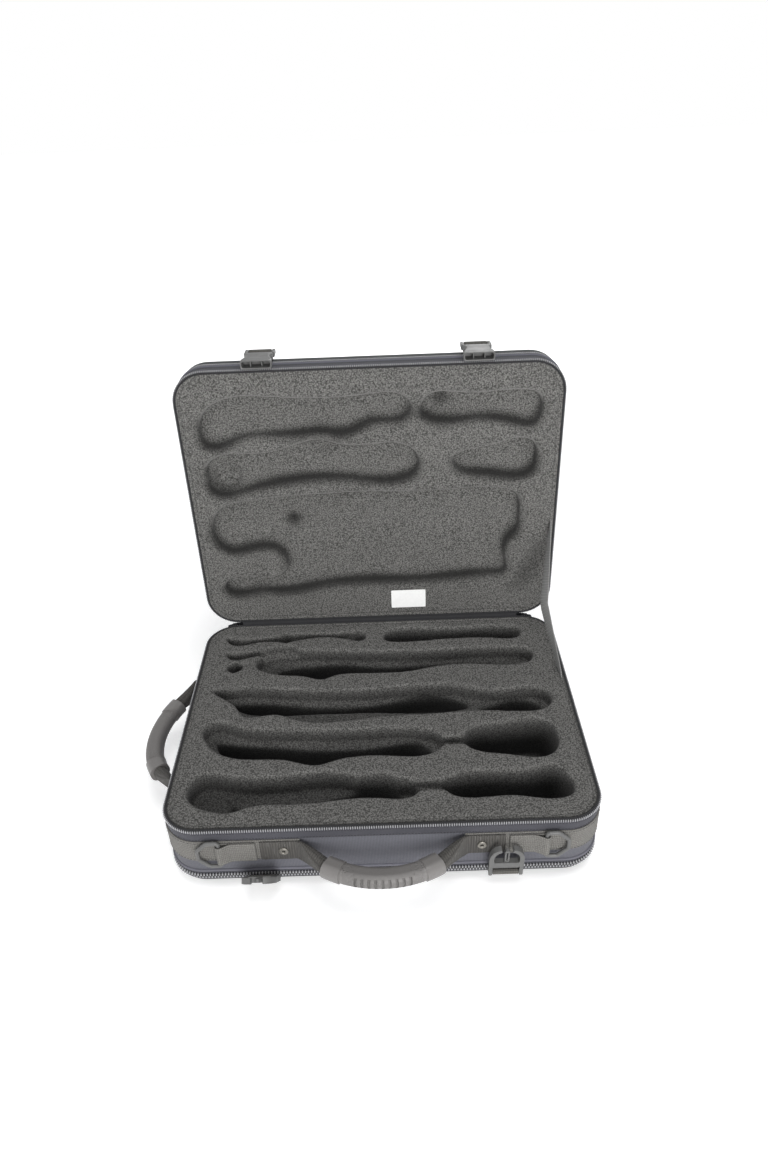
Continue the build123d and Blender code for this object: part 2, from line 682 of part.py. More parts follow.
# Female halves of the buckles, on the straps over the lid's outer edge
female_out = COIL_PROUD + BUCKLE_GAP / 2 + FEMALE_T / 2
female_pivot_z = FEMALE_RAIL_L + FEMALE_L - FEMALE_PAST_RIM
female_mouth = FEMALE_RAIL_L + FEMALE_L
for side, hand in ((-1, "left"), (1, "right")):
    female_plane = lid_plane(
        (side * BUCKLE_X, -(CASE_W / 2 + female_out), female_pivot_z), (-1, 0, 0), (0, -1, 0)
    )
    with BuildPart() as female:
        with BuildSketch(female_plane):
            with Locations((0, FEMALE_RAIL_L + FEMALE_L / 2)):
                RectangleRounded(BUCKLE_W, FEMALE_L, 4)
        extrude(amount=FEMALE_T / 2, both=True)
        fillet(female.faces().filter_by(female_plane).edges(), 1.4)
        buckle_end(female_plane, FEMALE_RAIL_L + 1)
        socket_l = FEMALE_L - 5
        with BuildSketch(female_plane):
            with Locations((0, female_mouth - socket_l / 2)):
                Rectangle(BUCKLE_W - 4 * FEMALE_WALL, socket_l)
            with Locations((0, FEMALE_RAIL_L + FEMALE_L * 0.5)):
                Rectangle(BUCKLE_W + 2, FEMALE_L * 0.34)
        extrude(amount=FEMALE_T / 2 - FEMALE_WALL, both=True, mode=Mode.SUBTRACT)
    save(female, f"female_buckle_{hand}")

# Straps of the male halves, sewn to the bottom panel
strap_clear = WEBBING_T + 0.1
edge_centre = (-(CASE_W / 2 - BASE_EDGE_R), BASE_EDGE_R)
pivot = (-(CASE_W / 2 + male_out), MALE_PIVOT_Z)


def wrapped(centre, radius, pivot, turn):
    """The point where a strap from a bar meets a rounded edge, and its direction there."""
    run = Vector(centre[0] - pivot[0], centre[1] - pivot[1])
    swing = turn * degrees(asin(radius / run.length))
    direction = run.normalized().rotate(Axis.Z, swing)
    reach = (run.length**2 - radius**2) ** 0.5
    return Vector(pivot[0], pivot[1]) + direction * reach, direction


for side, hand in ((-1, "left"), (1, "right")):
    meet, direction = wrapped(edge_centre, BASE_EDGE_R + strap_clear, pivot, -1)
    sewn = radians(LOWER_SEWN_ANGLE)
    last = Vector(
        edge_centre[0] - (BASE_EDGE_R + strap_clear) * cos(sewn),
        edge_centre[1] - (BASE_EDGE_R + strap_clear) * sin(sewn),
    )
    with BuildPart() as strap:
        with BuildSketch(Plane.YZ.offset(side * BUCKLE_X)):
            with BuildLine():
                Line(pivot, (meet.X, meet.Y))
                TangentArc((meet.X, meet.Y), (last.X, last.Y), tangent=(direction.X, direction.Y))
            trace(line_width=2 * WEBBING_T)
            with Locations(pivot):
                Circle(BAR_R + SEAT + WEBBING_T)
                Circle(BAR_R + SEAT, mode=Mode.SUBTRACT)
        extrude(amount=WEBBING_W / 2, both=True)
    save(strap, f"lower_strap_{hand}")

# Straps of the female halves, sewn to the lid's outer face
lid_edge_centre = (-(CASE_W / 2 - LID_EDGE_R), LID_H - LID_EDGE_R)
lid_pivot = (-(CASE_W / 2 + female_out), female_pivot_z)
for side, hand in ((-1, "left"), (1, "right")):
    meet, direction = wrapped(lid_edge_centre, LID_EDGE_R + strap_clear, lid_pivot, 1)
    top = LID_H + strap_clear
    with BuildPart() as strap:
        with BuildSketch(lid_plane((side * BUCKLE_X, 0, 0), (0, 1, 0), (1, 0, 0))):
            with BuildLine():
                Line(lid_pivot, (meet.X, meet.Y))
                TangentArc(
                    (meet.X, meet.Y), (lid_edge_centre[0], top), tangent=(direction.X, direction.Y)
                )
                Line((lid_edge_centre[0], top), (lid_edge_centre[0] + UPPER_SEWN_L, top))
            trace(line_width=2 * WEBBING_T)
            with Locations(lid_pivot):
                Circle(BAR_R + SEAT + WEBBING_T)
                Circle(BAR_R + SEAT, mode=Mode.SUBTRACT)
        extrude(amount=WEBBING_W / 2, both=True)
    save(strap, f"upper_strap_{hand}")

# Hinge: one strip of fabric tape bent between the two back walls
back_line = BACK_Y + TAPE_T / 2
lid_start = LID.from_local_coords(Vector(0, back_line, 0))
lid_end = LID.from_local_coords(Vector(0, back_line, TAPE_H))
corner_z = lid_start.Z + (back_line - lid_start.Y) * LID.z_dir.Z / LID.z_dir.Y
with BuildPart() as hinge_tape:
    with BuildSketch(Plane.YZ):
        with BuildLine():
            FilletPolyline(
                (back_line, BASE_H - TAPE_H),
                (back_line, corner_z),
                (lid_end.Y, lid_end.Z),
                radius=TAPE_BEND_R,
            )
        trace(line_width=TAPE_T)
    extrude(amount=HINGE_HALF, both=True)
save(hinge_tape, "hinge_tape")

# Stay strap: a ribbon creased inward, its ends tucked beside the plush
stay_x = CASE_L / 2 - WALL - LINING_GAP / 2
base_anchor = Vector(stay_x, STAY_BASE_Y, BASE_H)
lid_anchor = LID.from_local_coords(Vector(stay_x, STAY_LID_Y, 0))
crease = (base_anchor + lid_anchor) / 2 + Vector(*STAY_SAG)
with BuildPart() as stay_strap:
    for anchor in (base_anchor, lid_anchor):
        run = crease - anchor
        normal = run.cross(Vector(1, 0, 0)).cross(run).normalized()
        with BuildSketch(Plane(origin=anchor, x_dir=run, z_dir=normal)):
            with Locations((run.length / 2, 0)):
                Rectangle(run.length + STAY_T, STAY_W)
        extrude(amount=STAY_T / 2, both=True)
    with Locations(Plane(base_anchor)):
        with Locations((0, 0, -STAY_TAB / 2 + 1)):
            Box(STAY_T, STAY_W, STAY_TAB)
    with Locations(Plane(origin=lid_anchor, x_dir=LID.x_dir, z_dir=LID.z_dir)):
        with Locations((0, 0, STAY_TAB / 2 - 1)):
            Box(STAY_T, STAY_W, STAY_TAB)
save(stay_strap, "stay_strap")


# Zipper sliders and pulls, on frames with X along the pull and Z out of the tape
def slider_body(frame):
    """A slider with its bail."""
    with BuildPart() as slider:
        with BuildSketch(frame):
            RectangleRounded(SLIDER_L, SLIDER_W, 2.2)
        extrude(amount=SLIDER_T)
        outer = slider.faces().filter_by(frame).sort_by(Axis(frame.origin, frame.z_dir))[-1]
        fillet(outer.edges(), 0.8)
        upright = Plane(origin=frame.origin, x_dir=frame.x_dir, z_dir=-frame.y_dir)
        with BuildSketch(upright):
            with Locations((0, SLIDER_T + BAIL_H / 2 - 0.2)):
                RectangleRounded(BAIL_L, BAIL_H + 0.4, 1.2)
            with Locations((0, SLIDER_T + (BAIL_H - BAIL_T) / 2)):
                Rectangle(BAIL_L - 2 * BAIL_T, BAIL_H - BAIL_T, mode=Mode.SUBTRACT)
        extrude(amount=BAIL_W / 2, both=True)
    return slider


def slider_pull(frame):
    """A flat pull whose end bar turns inside the bail."""
    lift = SLIDER_T + (BAIL_H - BAIL_T) / 2
    with BuildPart() as pull:
        with BuildSketch(frame.offset(lift)):
            with Locations((PULL_L / 2 - PULL_BAR / 2, 0)):
                RectangleRounded(PULL_L, PULL_W, 2)
            with Locations((PULL_BAR / 2 + PULL_WINDOW_L / 2, 0)):
                RectangleRounded(PULL_WINDOW_L, PULL_WINDOW_W, 0.8, mode=Mode.SUBTRACT)
        extrude(amount=PULL_T / 2, both=True)
        with BuildSketch(frame.offset(lift + PULL_T / 2)):
            with Locations((PULL_L * 0.62, 0)):
                RectangleRounded(PULL_L * 0.5, PULL_W * 0.62, 1.4)
        extrude(amount=-PULL_T * 0.25, mode=Mode.SUBTRACT)
    return pull


corner_x = CASE_L / 2 - CORNER_R
corner_y = CASE_W / 2 - CORNER_R
turn = radians(MAIN_SLIDER_TURN)
slider_z = BASE_H - SEAT - SLIDER_W / 2
slider_frames = {}
for side, hand in ((-1, "left"), (1, "right")):
    reach = CORNER_R + COIL_PROUD + SEAT
    slider_frames[f"main_{hand}"] = Plane(
        origin=(side * (corner_x + reach * sin(turn)), corner_y + reach * cos(turn), slider_z),
        x_dir=(-side * cos(turn), sin(turn), 0),
        z_dir=(side * sin(turn), cos(turn), 0),
    )
slider_frames["lower"] = Plane(
    origin=(CASE_L / 2 + LOWER_COIL_PROUD + SEAT, LOWER_SLIDER_Y, lower_zip_mid),
    x_dir=(0, 1, 0),
    z_dir=(1, 0, 0),
)
lid_zip_mid = LID_SEAM_Z - LID_ZIP_H / 2
slider_frames["lid_pocket"] = lid_plane(
    (-(CASE_L / 2 + LID_COIL_PROUD + SEAT), LID_SLIDER_Y, lid_zip_mid), (0, 1, 0), (-1, 0, 0)
)
for name, frame in slider_frames.items():
    save(slider_body(frame), f"{name}_slider")
    save(slider_pull(frame), f"{name}_pull")

# Lid: outer pocket panel
with BuildPart() as lid_pocket_panel:
    add(lid_outside)
    add(lid_lining, mode=Mode.SUBTRACT)
    split(bisect_by=LID.offset(LID_SEAM_Z), keep=Keep.TOP)
save(lid_pocket_panel, "lid_pocket_panel")

# Lid: zipper of the pocket, closed
lid_coil = band(
    LID, lid_zip_mid - LID_COIL_H / 2, LID_COIL_H, LID_COIL_PROUD, COIL_EDGE, -SKIN_T
)
with BuildPart() as lid_pocket_zipper:
    with BuildSketch(LID.offset(LID_SEAM_Z - LID_ZIP_H)):
        plan(0)
        plan(-SKIN_T, mode=Mode.SUBTRACT)
    extrude(amount=LID_ZIP_H)
    add(lid_coil)
save(lid_pocket_zipper, "lid_pocket_zipper")

# Lid: fabric cover of the side walls
with BuildPart() as lid_cover:
    with BuildSketch(LID.offset(BINDING_H)):
        plan(0)
        plan(-SKIN_T, mode=Mode.SUBTRACT)
    extrude(amount=LID_SEAM_Z - LID_ZIP_H - BINDING_H)
save(lid_cover, "lid_cover")

# Lid: piping cord beside the pocket zipper
lid_cord = band(
    LID, LID_SEAM_Z - LID_ZIP_H - PIPING_H, PIPING_H, PIPING_PROUD, PIPING_EDGE
)
with BuildPart() as lid_piping:
    add(lid_cord)
save(lid_piping, "lid_piping")

# Lid: stiff inner shell
with BuildPart() as lid_shell:
    add(lid_lining)
    add(lid_inside, mode=Mode.SUBTRACT)
    split(bisect_by=LID.offset(BINDING_H), keep=Keep.TOP)
save(lid_shell, "lid_shell")

# Lid: binding over the rim
with BuildPart() as lid_rim_binding:
    with BuildSketch(LID):
        plan(0)
        plan(-WALL, mode=Mode.SUBTRACT)
    extrude(amount=BINDING_H)
    rim = Axis(LID.origin, -LID.z_dir)
    fillet(lid_rim_binding.faces().sort_by(rim)[-1].edges(), BINDING_R)
save(lid_rim_binding, "lid_rim_binding")

# Lid: its half of the main zipper, tape and coil
lid_main_coil = band(LID, SEAT, COIL_H, COIL_PROUD, COIL_EDGE)
with BuildPart() as main_zipper_lid:
    with BuildSketch(LID.offset(SEAT + COIL_H / 2)):
        plan(ZIP_TAPE_PROUD)
        plan(0, mode=Mode.SUBTRACT)
    extrude(amount=ZIP_TAPE_H - COIL_H / 2)
    add(lid_main_coil)
    with Locations(lid_plane((0, BACK_Y, 0), (1, 0, 0), (0, 0, 1))):
        Box(2 * ZIP_END_X, CORNER_R, 4 * ZIP_TAPE_H, mode=Mode.SUBTRACT)
save(main_zipper_lid, "main_zipper_lid")

# Lid: foam core behind the plush
with BuildPart() as lid_core:
    with BuildSketch(LID.offset(LID_INSERT_T)):
        plan(INSERT_GROW)
    extrude(amount=LID_H - WALL - LID_INSERT_T)
    fillet(lid_core.faces().sort_by(Axis(LID.origin, LID.z_dir))[-1].edges(), LID_EDGE_R - WALL)
save(lid_core, "lid_core")

# Lid insert: outlines of the shallow hollows over the instrument
LID_FRONT_JOINT = [
    (-188, -95), (-180, -116), (-162, -128), (-100, -130), (0, -130), (36, -127), (45, -116),
    (40, -104), (0, -98), (-20, -88), (-50, -87), (-100, -87), (-150, -82), (-170, -74),
    (-184, -78),
]
LID_FRONT_BELL = [
    (56, -104), (68, -98), (110, -98), (160, -92), (178, -90), (186, -105), (183, -123),
    (160, -129), (100, -128), (64, -127), (55, -116),
]
LID_SECOND_JOINT = [
    (-187, -36), (-184, -22), (-174, -16), (-150, -19), (-120, -27), (-90, -32), (-20, -31),
    (38, -31), (50, -40), (50, -60), (38, -70), (0, -72), (-30, -73), (-46, -76), (-60, -79),
    (-76, -77), (-100, -70), (-130, -66), (-176, -62), (-187, -50),
]
LID_KEY_HOLLOW = [
    (-180, -36), (-176, -24), (-162, -22), (-152, -28), (-150, -44), (-162, -50), (-176, -48),
]
LID_SECOND_BELL = [
    (90, -46), (98, -37), (115, -33), (140, -30), (162, -27), (179, -33), (184, -50), (180, -68),
    (166, -74), (140, -68), (104, -61), (92, -56),
]
LID_LONG_JOINT = [
    (-188, 15), (-176, 0), (-150, -7), (-110, -11), (0, -14), (100, -14), (148, -13), (163, -6),
    (168, 20), (166, 42), (156, 54), (153, 75), (154, 98), (140, 101), (110, 102), (60, 106),
    (-50, 107), (-80, 112), (-110, 117), (-150, 117), (-180, 117), (-187, 108), (-180, 98),
    (-150, 95), (-118, 93), (-109, 84), (-109, 66), (-118, 56), (-150, 56), (-175, 58),
    (-186, 48),
]


def hollow(outline, depth, lip, start=0.0):
    """Press a shallow hollow of a closed smooth outline into the lid's plush."""
    with BuildSketch(LID.offset(start)) as opening:
        with BuildLine():
            Spline(*[laid(x, y) for x, y in outline], periodic=True)
        make_face()
    extrude(opening.sketch, amount=depth, mode=Mode.SUBTRACT)
    if lip:
        fillet(edges(Select.LAST).filter_by(on_rim), lip)


def on_rim(edge):
    """Whether an edge lies in the plane of the lid's rim."""
    heights = [LID.to_local_coords(edge.position_at(t)).Z for t in (0, 0.3, 0.7)]
    return max(abs(z) for z in heights) < 1e-4


# Lid insert: moulded plush with the hollows and a seat for the label
with BuildPart() as lid_insert:
    with BuildSketch(LID):
        plan(INSERT_GROW)
    extrude(amount=LID_INSERT_T)
    fillet(lid_insert.faces().sort_by(rim)[-1].edges(), INSERT_ROLL_R)
    hollow(LID_FRONT_JOINT, HOLLOW_DEPTH, HOLLOW_LIP_R)
    hollow(LID_FRONT_BELL, HOLLOW_DEPTH, HOLLOW_LIP_R)
    hollow(LID_SECOND_JOINT, HOLLOW_DEPTH, HOLLOW_LIP_R)
    hollow(LID_KEY_HOLLOW, KEY_HOLLOW_EXTRA, 0, HOLLOW_DEPTH)
    hollow(LID_SECOND_BELL, HOLLOW_DEPTH, HOLLOW_LIP_R)
    hollow(LID_LONG_JOINT, HOLLOW_DEPTH, HOLLOW_LIP_R)
    with Locations(LID):
        with Locations((LABEL_X, LABEL_Y, 0)):
            Box(
                LABEL_L + 2 * SEAT, LABEL_W + 2 * SEAT, 2 * (LABEL_T - LABEL_PROUD),
                mode=Mode.SUBTRACT,
            )
save(lid_insert, "lid_insert")

# Lid: blank label plate
with BuildPart() as label_plate:
    with BuildSketch(LID.offset(-LABEL_PROUD)):
        with Locations((LABEL_X, LABEL_Y)):
            RectangleRounded(LABEL_L, LABEL_W, 1)
    extrude(amount=LABEL_T)
save(label_plate, "label_plate")
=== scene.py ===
"""Looks of an open instrument case: plush wells, woven covers, webbing, zippers and trim.

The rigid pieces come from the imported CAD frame. Everything soft is rebuilt here in the
same place: the plush from the inserts' own shapes, the covers, belts, cords and zippers
as bands swept round the case's outline, and the straps as ribbons. So are the buckles'
sockets. Lengths are metres.
"""

import logging
import math
from contextlib import contextmanager
from dataclasses import dataclass, field
from enum import Enum
from functools import cache
from typing import Callable, Iterator, Sequence

import bmesh
import bpy
import numpy as np
from mathutils import Matrix, Vector, noise


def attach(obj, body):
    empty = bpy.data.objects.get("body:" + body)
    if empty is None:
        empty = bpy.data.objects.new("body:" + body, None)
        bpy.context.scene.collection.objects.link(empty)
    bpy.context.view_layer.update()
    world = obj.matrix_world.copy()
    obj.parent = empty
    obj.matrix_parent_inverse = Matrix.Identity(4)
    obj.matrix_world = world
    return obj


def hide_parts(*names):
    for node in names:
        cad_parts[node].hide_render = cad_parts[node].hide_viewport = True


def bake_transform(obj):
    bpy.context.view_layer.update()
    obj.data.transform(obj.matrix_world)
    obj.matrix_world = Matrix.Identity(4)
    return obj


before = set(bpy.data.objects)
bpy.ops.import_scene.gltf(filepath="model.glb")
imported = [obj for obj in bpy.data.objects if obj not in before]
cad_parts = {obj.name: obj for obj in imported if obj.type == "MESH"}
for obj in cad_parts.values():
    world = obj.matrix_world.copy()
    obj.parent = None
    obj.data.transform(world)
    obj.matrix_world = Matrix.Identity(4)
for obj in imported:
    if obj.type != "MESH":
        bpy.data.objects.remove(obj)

LOG = logging.getLogger("instrument_case")
MM = 0.001

Pair = tuple[float, float]
Spot = tuple[float, float, float]
Colour = tuple[float, float, float]
WHITE: Colour = (1.0, 1.0, 1.0)
SPECK: Colour = (0.55, 0.55, 0.53)


class Half(Enum):
    """The two halves of the case, each with its own frame."""

    BASE = "base"
    LID = "lid"

    @property
    def place(self) -> Matrix:
        """The half's frame at rest.

        Returns:
            From the half to the case. The lid's has Z out of its rim and Y as when closed.
        """
        if self is Half.BASE:
            return Matrix.Identity(4)
        turn = math.radians(CASE.lid_open)
        s, c = math.sin(turn), math.cos(turn)
        y = CASE.hinge_y * (1 - c) + CASE.rim_gap / 2 * s
        z = CASE.hinge_z + CASE.hinge_y * s + CASE.rim_gap / 2 * c
        return Matrix(((1, 0, 0, 0), (0, c, s, y), (0, -s, c, z), (0, 0, 0, 1)))


@dataclass(frozen=True)
class CaseSizes:
    """Sizes of the case that more than one piece shares, as in the CAD source."""

    half_x: float = 210 * MM
    half_y: float = 160 * MM
    corner: float = 35 * MM
    base_h: float = 82 * MM
    lid_h: float = 49 * MM
    base_edge: float = 16 * MM
    lid_edge: float = 12 * MM
    skin: float = 1.5 * MM
    wall: float = 4.5 * MM
    rim_gap: float = 0.6 * MM
    hinge_y: float = 162.4 * MM
    hinge_z: float = 82.3 * MM
    lid_open: float = 91.4
    belt_z: float = 53.5 * MM
    buckle_x: float = 117 * MM


CASE = CaseSizes()


@dataclass(frozen=True)
class Station:
    """A point on the case's outline with its outward direction and distance along it."""

    x: float
    y: float
    nx: float
    ny: float
    s: float

    def out(self, grow: float) -> Pair:
        """The point moved outward."""
        return self.x + self.nx * grow, self.y + self.ny * grow


Wave = Callable[[Station, float, float], float]


@dataclass(frozen=True)
class Outline:
    """The rounded rectangle that both halves follow, from the middle of the back leftwards."""

    half_x: float = CASE.half_x
    half_y: float = CASE.half_y
    corner: float = CASE.corner

    @property
    def side_x(self) -> float:
        """Half of the straight part along X."""
        return self.half_x - self.corner

    @property
    def side_y(self) -> float:
        """Half of the straight part along Y."""
        return self.half_y - self.corner

    @property
    def arc(self) -> float:
        """Length of one corner."""
        return math.pi / 2 * self.corner

    @property
    def length(self) -> float:
        """Length of the whole outline."""
        return 4 * (self.side_x + self.side_y + self.arc)

    @property
    def left(self) -> float:
        """Distance to the middle of the left side."""
        return self.side_x + self.arc + self.side_y

    @property
    def front(self) -> float:
        """Distance to the middle of the front."""
        return self.left + self.side_y + self.arc + self.side_x

    def at(self, s: float) -> Station:
        """Find a station.

        Args:
            s: Distance from the middle of the back, round by the left.

        Returns:
            The station there.
        """
        d, turn = s % self.length + self.side_x, 90
        while True:
            half, reach = ((self.side_x, self.half_y) if turn in (90, 270)
                           else (self.side_y, self.half_x))
            a = math.radians(turn)
            nx, ny = math.cos(a), math.sin(a)
            if d <= 2 * half:
                x, y = nx * reach - ny * (d - half), ny * reach + nx * (d - half)
                return Station(x, y, nx, ny, s)
            d -= 2 * half
            if d <= self.arc:
                a += d / self.corner
                x = nx * (reach - self.corner) - ny * half + self.corner * math.cos(a)
                y = ny * (reach - self.corner) + nx * half + self.corner * math.sin(a)
                return Station(x, y, math.cos(a), math.sin(a), s)
            d, turn = d - self.arc, (turn + 90) % 360

    def away(self, x: float, y: float) -> tuple[float, Vector]:
        """Measure how far outside the outline a point lies.

        Args:
            x: Place across the case.
            y: Place from front to back.

        Returns:
            The distance, negative within the outline, and the way out.
        """
        qx, qy = abs(x) - self.side_x, abs(y) - self.side_y
        if qx > 0 and qy > 0:
            reach = math.hypot(qx, qy)
            return reach - self.corner, Vector((qx / reach, qy / reach))
        way = Vector((1, 0)) if qx > qy else Vector((0, 1))
        return max(qx, qy) - self.corner, way

    def stations(self, step: float, start: float = 0.0, end: float | None = None) -> list[Station]:
        """Walk the outline.

        Args:
            step: Largest distance between stations.
            start: Distance to start at.
            end: Distance to end at, or None for the whole closed outline.

        Returns:
            The stations, without the first one again at the end of a closed outline.
        """
        stop = start + self.length if end is None else end
        count = max(2, math.ceil((stop - start) / step))
        last = count if end is None else count + 1
        return [self.at(start + (stop - start) * i / count) for i in range(last)]


OUTLINE = Outline()
ACROSS, UP = Vector((1, 0, 0)), Vector((0, 0, 1))
HANDS = ((-1, "left"), (1, "right"))
SIDE_HANDLE_Y = -2 * MM


def clamped(value: float) -> float:
    """A value kept between 0 and 1."""
    return min(1.0, max(0.0, value))


def framed(x: Sequence[float], y: Sequence[float], z: Sequence[float],
           place: Sequence[float]) -> Matrix:
    """A frame from its three directions and its place."""
    return Matrix((*zip(x, y, z, place), (0, 0, 0, 1)))


# Meshes


def new_object(name: str, data: bpy.types.ID) -> bpy.types.Object:
    """Link a mesh, a light or a camera to the scene as an object at the origin.

    Args:
        name: The object's name.
        data: What the object shows.

    Returns:
        The object.
    """
    piece = bpy.data.objects.new(name, data)
    bpy.context.scene.collection.objects.link(piece)
    return piece


@contextmanager
def edited(mesh: bpy.types.Mesh) -> Iterator[bmesh.types.BMesh]:
    """Edit a mesh as a bmesh.

    Args:
        mesh: The mesh, written back at the end.

    Yields:
        Its bmesh.
    """
    work = bmesh.new()
    work.from_mesh(mesh)
    yield work
    work.to_mesh(mesh)
    work.free()


def outward(mesh: bpy.types.Mesh) -> None:
    """Turn a mesh's faces outwards."""
    with edited(mesh) as work:
        bmesh.ops.recalc_face_normals(work, faces=work.faces)


def placed(name: str, mesh: bpy.types.Mesh, place: Matrix,
           angle: float = 40.0) -> bpy.types.Object:
    """Put a mesh in place and shade it smooth, with its sharp edges kept.

    Args:
        name: The object's name.
        mesh: The mesh.
        place: Where it goes.
        angle: Edges that turn by more than this many degrees stay sharp.

    Returns:
        The object, at the origin.
    """
    mesh.transform(place)
    mesh.shade_smooth()
    mesh.set_sharp_from_angle(angle=math.radians(angle))
    return new_object(name, mesh)


def evaluated(base: bpy.types.Object) -> bpy.types.Mesh:
    """Take an object's shape with its modifiers.

    Args:
        base: The object.

    Returns:
        A mesh of its own.
    """
    bpy.context.view_layer.update()
    graph = bpy.context.evaluated_depsgraph_get()
    return bpy.data.meshes.new_from_object(base.evaluated_get(graph), depsgraph=graph)


def mark(mesh: bpy.types.Mesh, name: str, values: Sequence[float]) -> None:
    """Write a value for each point, which the plush's material reads."""
    layer = mesh.attributes.new(name, "FLOAT", "POINT")
    layer.data.foreach_set("value", values)


@dataclass
class Lattice:
    """A grid of points that makes a tube, a band or a sheet, with a cloth's own coordinates."""

    name: str
    points: list[list[Vector]]
    u: list[float]
    v: list[float]
    closed_u: bool = False
    closed_v: bool = False

    def mesh(self) -> bpy.types.Mesh:
        """Build the mesh.

        Returns:
            Quads over the grid, a tube's ends capped, with a UV map in metres.
        """
        rows, cols = len(self.points), len(self.points[0])
        faces: list[list[int]] = []
        uvs: list[Pair] = []
        for i in range(rows if self.closed_u else rows - 1):
            for j in range(cols if self.closed_v else cols - 1):
                k, m = (i + 1) % rows, (j + 1) % cols
                faces.append([i * cols + j, k * cols + j, k * cols + m, i * cols + m])
                u0, u1, v0, v1 = self.u[i], self.u[i + 1], self.v[j], self.v[j + 1]
                uvs += [(u0, v0), (u1, v0), (u1, v1), (u0, v1)]
        if self.closed_v and not self.closed_u:
            for i, order in ((0, 1), (rows - 1, -1)):
                faces.append([i * cols + j for j in range(cols)][::order])
                uvs += [(self.u[i], self.v[j]) for j in range(cols)][::order]
        mesh = bpy.data.meshes.new(self.name)
        mesh.from_pydata([p for row in self.points for p in row], [], faces)
        layer = mesh.uv_layers.new(name="cloth")
        layer.data.foreach_set("uv", [c for uv in uvs for c in uv])
        mesh.validate()
        outward(mesh)
        return mesh


def running(points: Sequence[Pair], closed: bool) -> list[float]:
    """Measure along a section's points.

    Args:
        points: The points.
        closed: Whether a last run leads back to the first point.

    Returns:
        The distance at each point, with the closing run last.
    """
    ring = list(points) + ([points[0]] if closed else [])
    out = [0.0]
    for a, b in zip(ring, ring[1:]):
        out.append(out[-1] + math.dist(a, b))
    return out


def arc_points(centre: Pair, radius: float, start: float, end: float, count: int) -> list[Pair]:
    """Place points on an arc.

    Args:
        centre: The arc's centre.
        radius: Its radius.
        start: Its first angle, in degrees.
        end: Its last angle, in degrees.
        count: Divisions of the arc.

    Returns:
        The points, one more than the divisions.
    """
    out = []
    for i in range(count + 1):
        a = math.radians(start + (end - start) * i / count)
        out.append((centre[0] + radius * math.cos(a), centre[1] + radius * math.sin(a)))
    return out


def rounded(width: float, height: float, radius: float, steps: int = 3) -> list[Pair]:
    """A rounded rectangle's points about its centre.

    Args:
        width: Size along the first direction.
        height: Size along the second direction.
        radius: Corner radius, at most half of the smaller size.
        steps: Divisions of each corner.

    Returns:
        The points, anticlockwise.
    """
    r = min(radius, width / 2, height / 2)
    out: list[Pair] = []
    for sx, sy, start in ((1, 1, 0), (-1, 1, 90), (-1, -1, 180), (1, -1, 270)):
        centre = (sx * (width / 2 - r), sy * (height / 2 - r))
        out += arc_points(centre, r, start, start + 90, steps)
    return out


def divided(points: Sequence[Pair], step: float) -> list[Pair]:
    """Divide the long runs of a closed section.

    Args:
        points: The section's points.
        step: Longest run that stays whole.

    Returns:
        The points with new ones between them.
    """
    out: list[Pair] = []
    for a, b in zip(points, [*points[1:], points[0]]):
        count = max(1, math.ceil(math.dist(a, b) / step))
        out += [(a[0] + (b[0] - a[0]) * i / count, a[1] + (b[1] - a[1]) * i / count)
                for i in range(count)]
    return out


def box_section(out: float, up: float, width: float, height: float, radius: float,
                step: float = 4 * MM) -> list[Pair]:
    """A rounded section about a centre given outward from the outline and up."""
    return [(out + a, up + b) for a, b in divided(rounded(width, height, radius), step)]


def swept(stations: Sequence[Station], section: Sequence[Pair],
          wave: Wave | None) -> list[list[Vector]]:
    """Set a section of outward and upward places at every station.

    Args:
        stations: Places on the outline.
        section: The section.
        wave: What moves a place further outward, or None.

    Returns:
        A row of points for each station.
    """
    rows = []
    for st in stations:
        grown = [(out + (wave(st, out, up) if wave else 0.0), up) for out, up in section]
        rows.append([Vector((*st.out(out), up)) for out, up in grown])
    return rows


@dataclass
class Band:
    """A closed section swept round the case's outline: a cover, a tape, a belt or a cord."""

    name: str
    half: Half
    section: list[Pair]
    start: float = 0.0
    end: float | None = None
    wave: Wave | None = None
    step: float = 5 * MM

    def build(self) -> bpy.types.Object:
        """Sweep the section.

        Returns:
            The band, in place on its half.
        """
        stations = OUTLINE.stations(self.step, self.start, self.end)
        closed = self.end is None
        u = [st.s for st in stations] + ([stations[0].s + OUTLINE.length] if closed else [])
        rows = swept(stations, self.section, self.wave)
        mesh = Lattice(self.name, rows, u, running(self.section, True), closed, True).mesh()
        return placed(self.name, mesh, self.half.place)


@dataclass
class Ribbon:
    """A strap: a rounded section swept along a path.

    Its width lies along one direction, or square to the path in the plane of Y and Z.
    """

    name: str
    path: list[Vector]
    across: Vector | None
    width: float
    thick: float
    cross_steps: int = 6
    half: Half = Half.BASE
    twist: float = 0.0

    def build(self) -> bpy.types.Object:
        """Sweep the section along the path.

        Returns:
            The strap, in place on its half.
        """
        section = divided(rounded(self.width, self.thick, self.thick * 0.45, 2),
                          self.width / self.cross_steps)
        rows: list[list[Vector]] = []
        u: list[float] = []
        walked = 0.0
        last = len(self.path) - 1
        for i, p in enumerate(self.path):
            along = (self.path[min(last, i + 1)] - self.path[max(0, i - 1)]).normalized()
            across = self.across or Vector((0, along.z, -along.y)).normalized()
            if self.twist:
                share = math.sin(math.pi * i / last) ** 2
                across = Matrix.Rotation(math.radians(self.twist) * share, 3, along) @ across
            normal = along.cross(across).normalized()
            rows.append([p + across * w + normal * t for w, t in section])
            walked += (p - self.path[i - 1]).length if i else 0.0
            u.append(walked)
        mesh = Lattice(self.name, rows, u, running(section, True), closed_v=True).mesh()
        return placed(self.name, mesh, self.half.place)


# Node trees

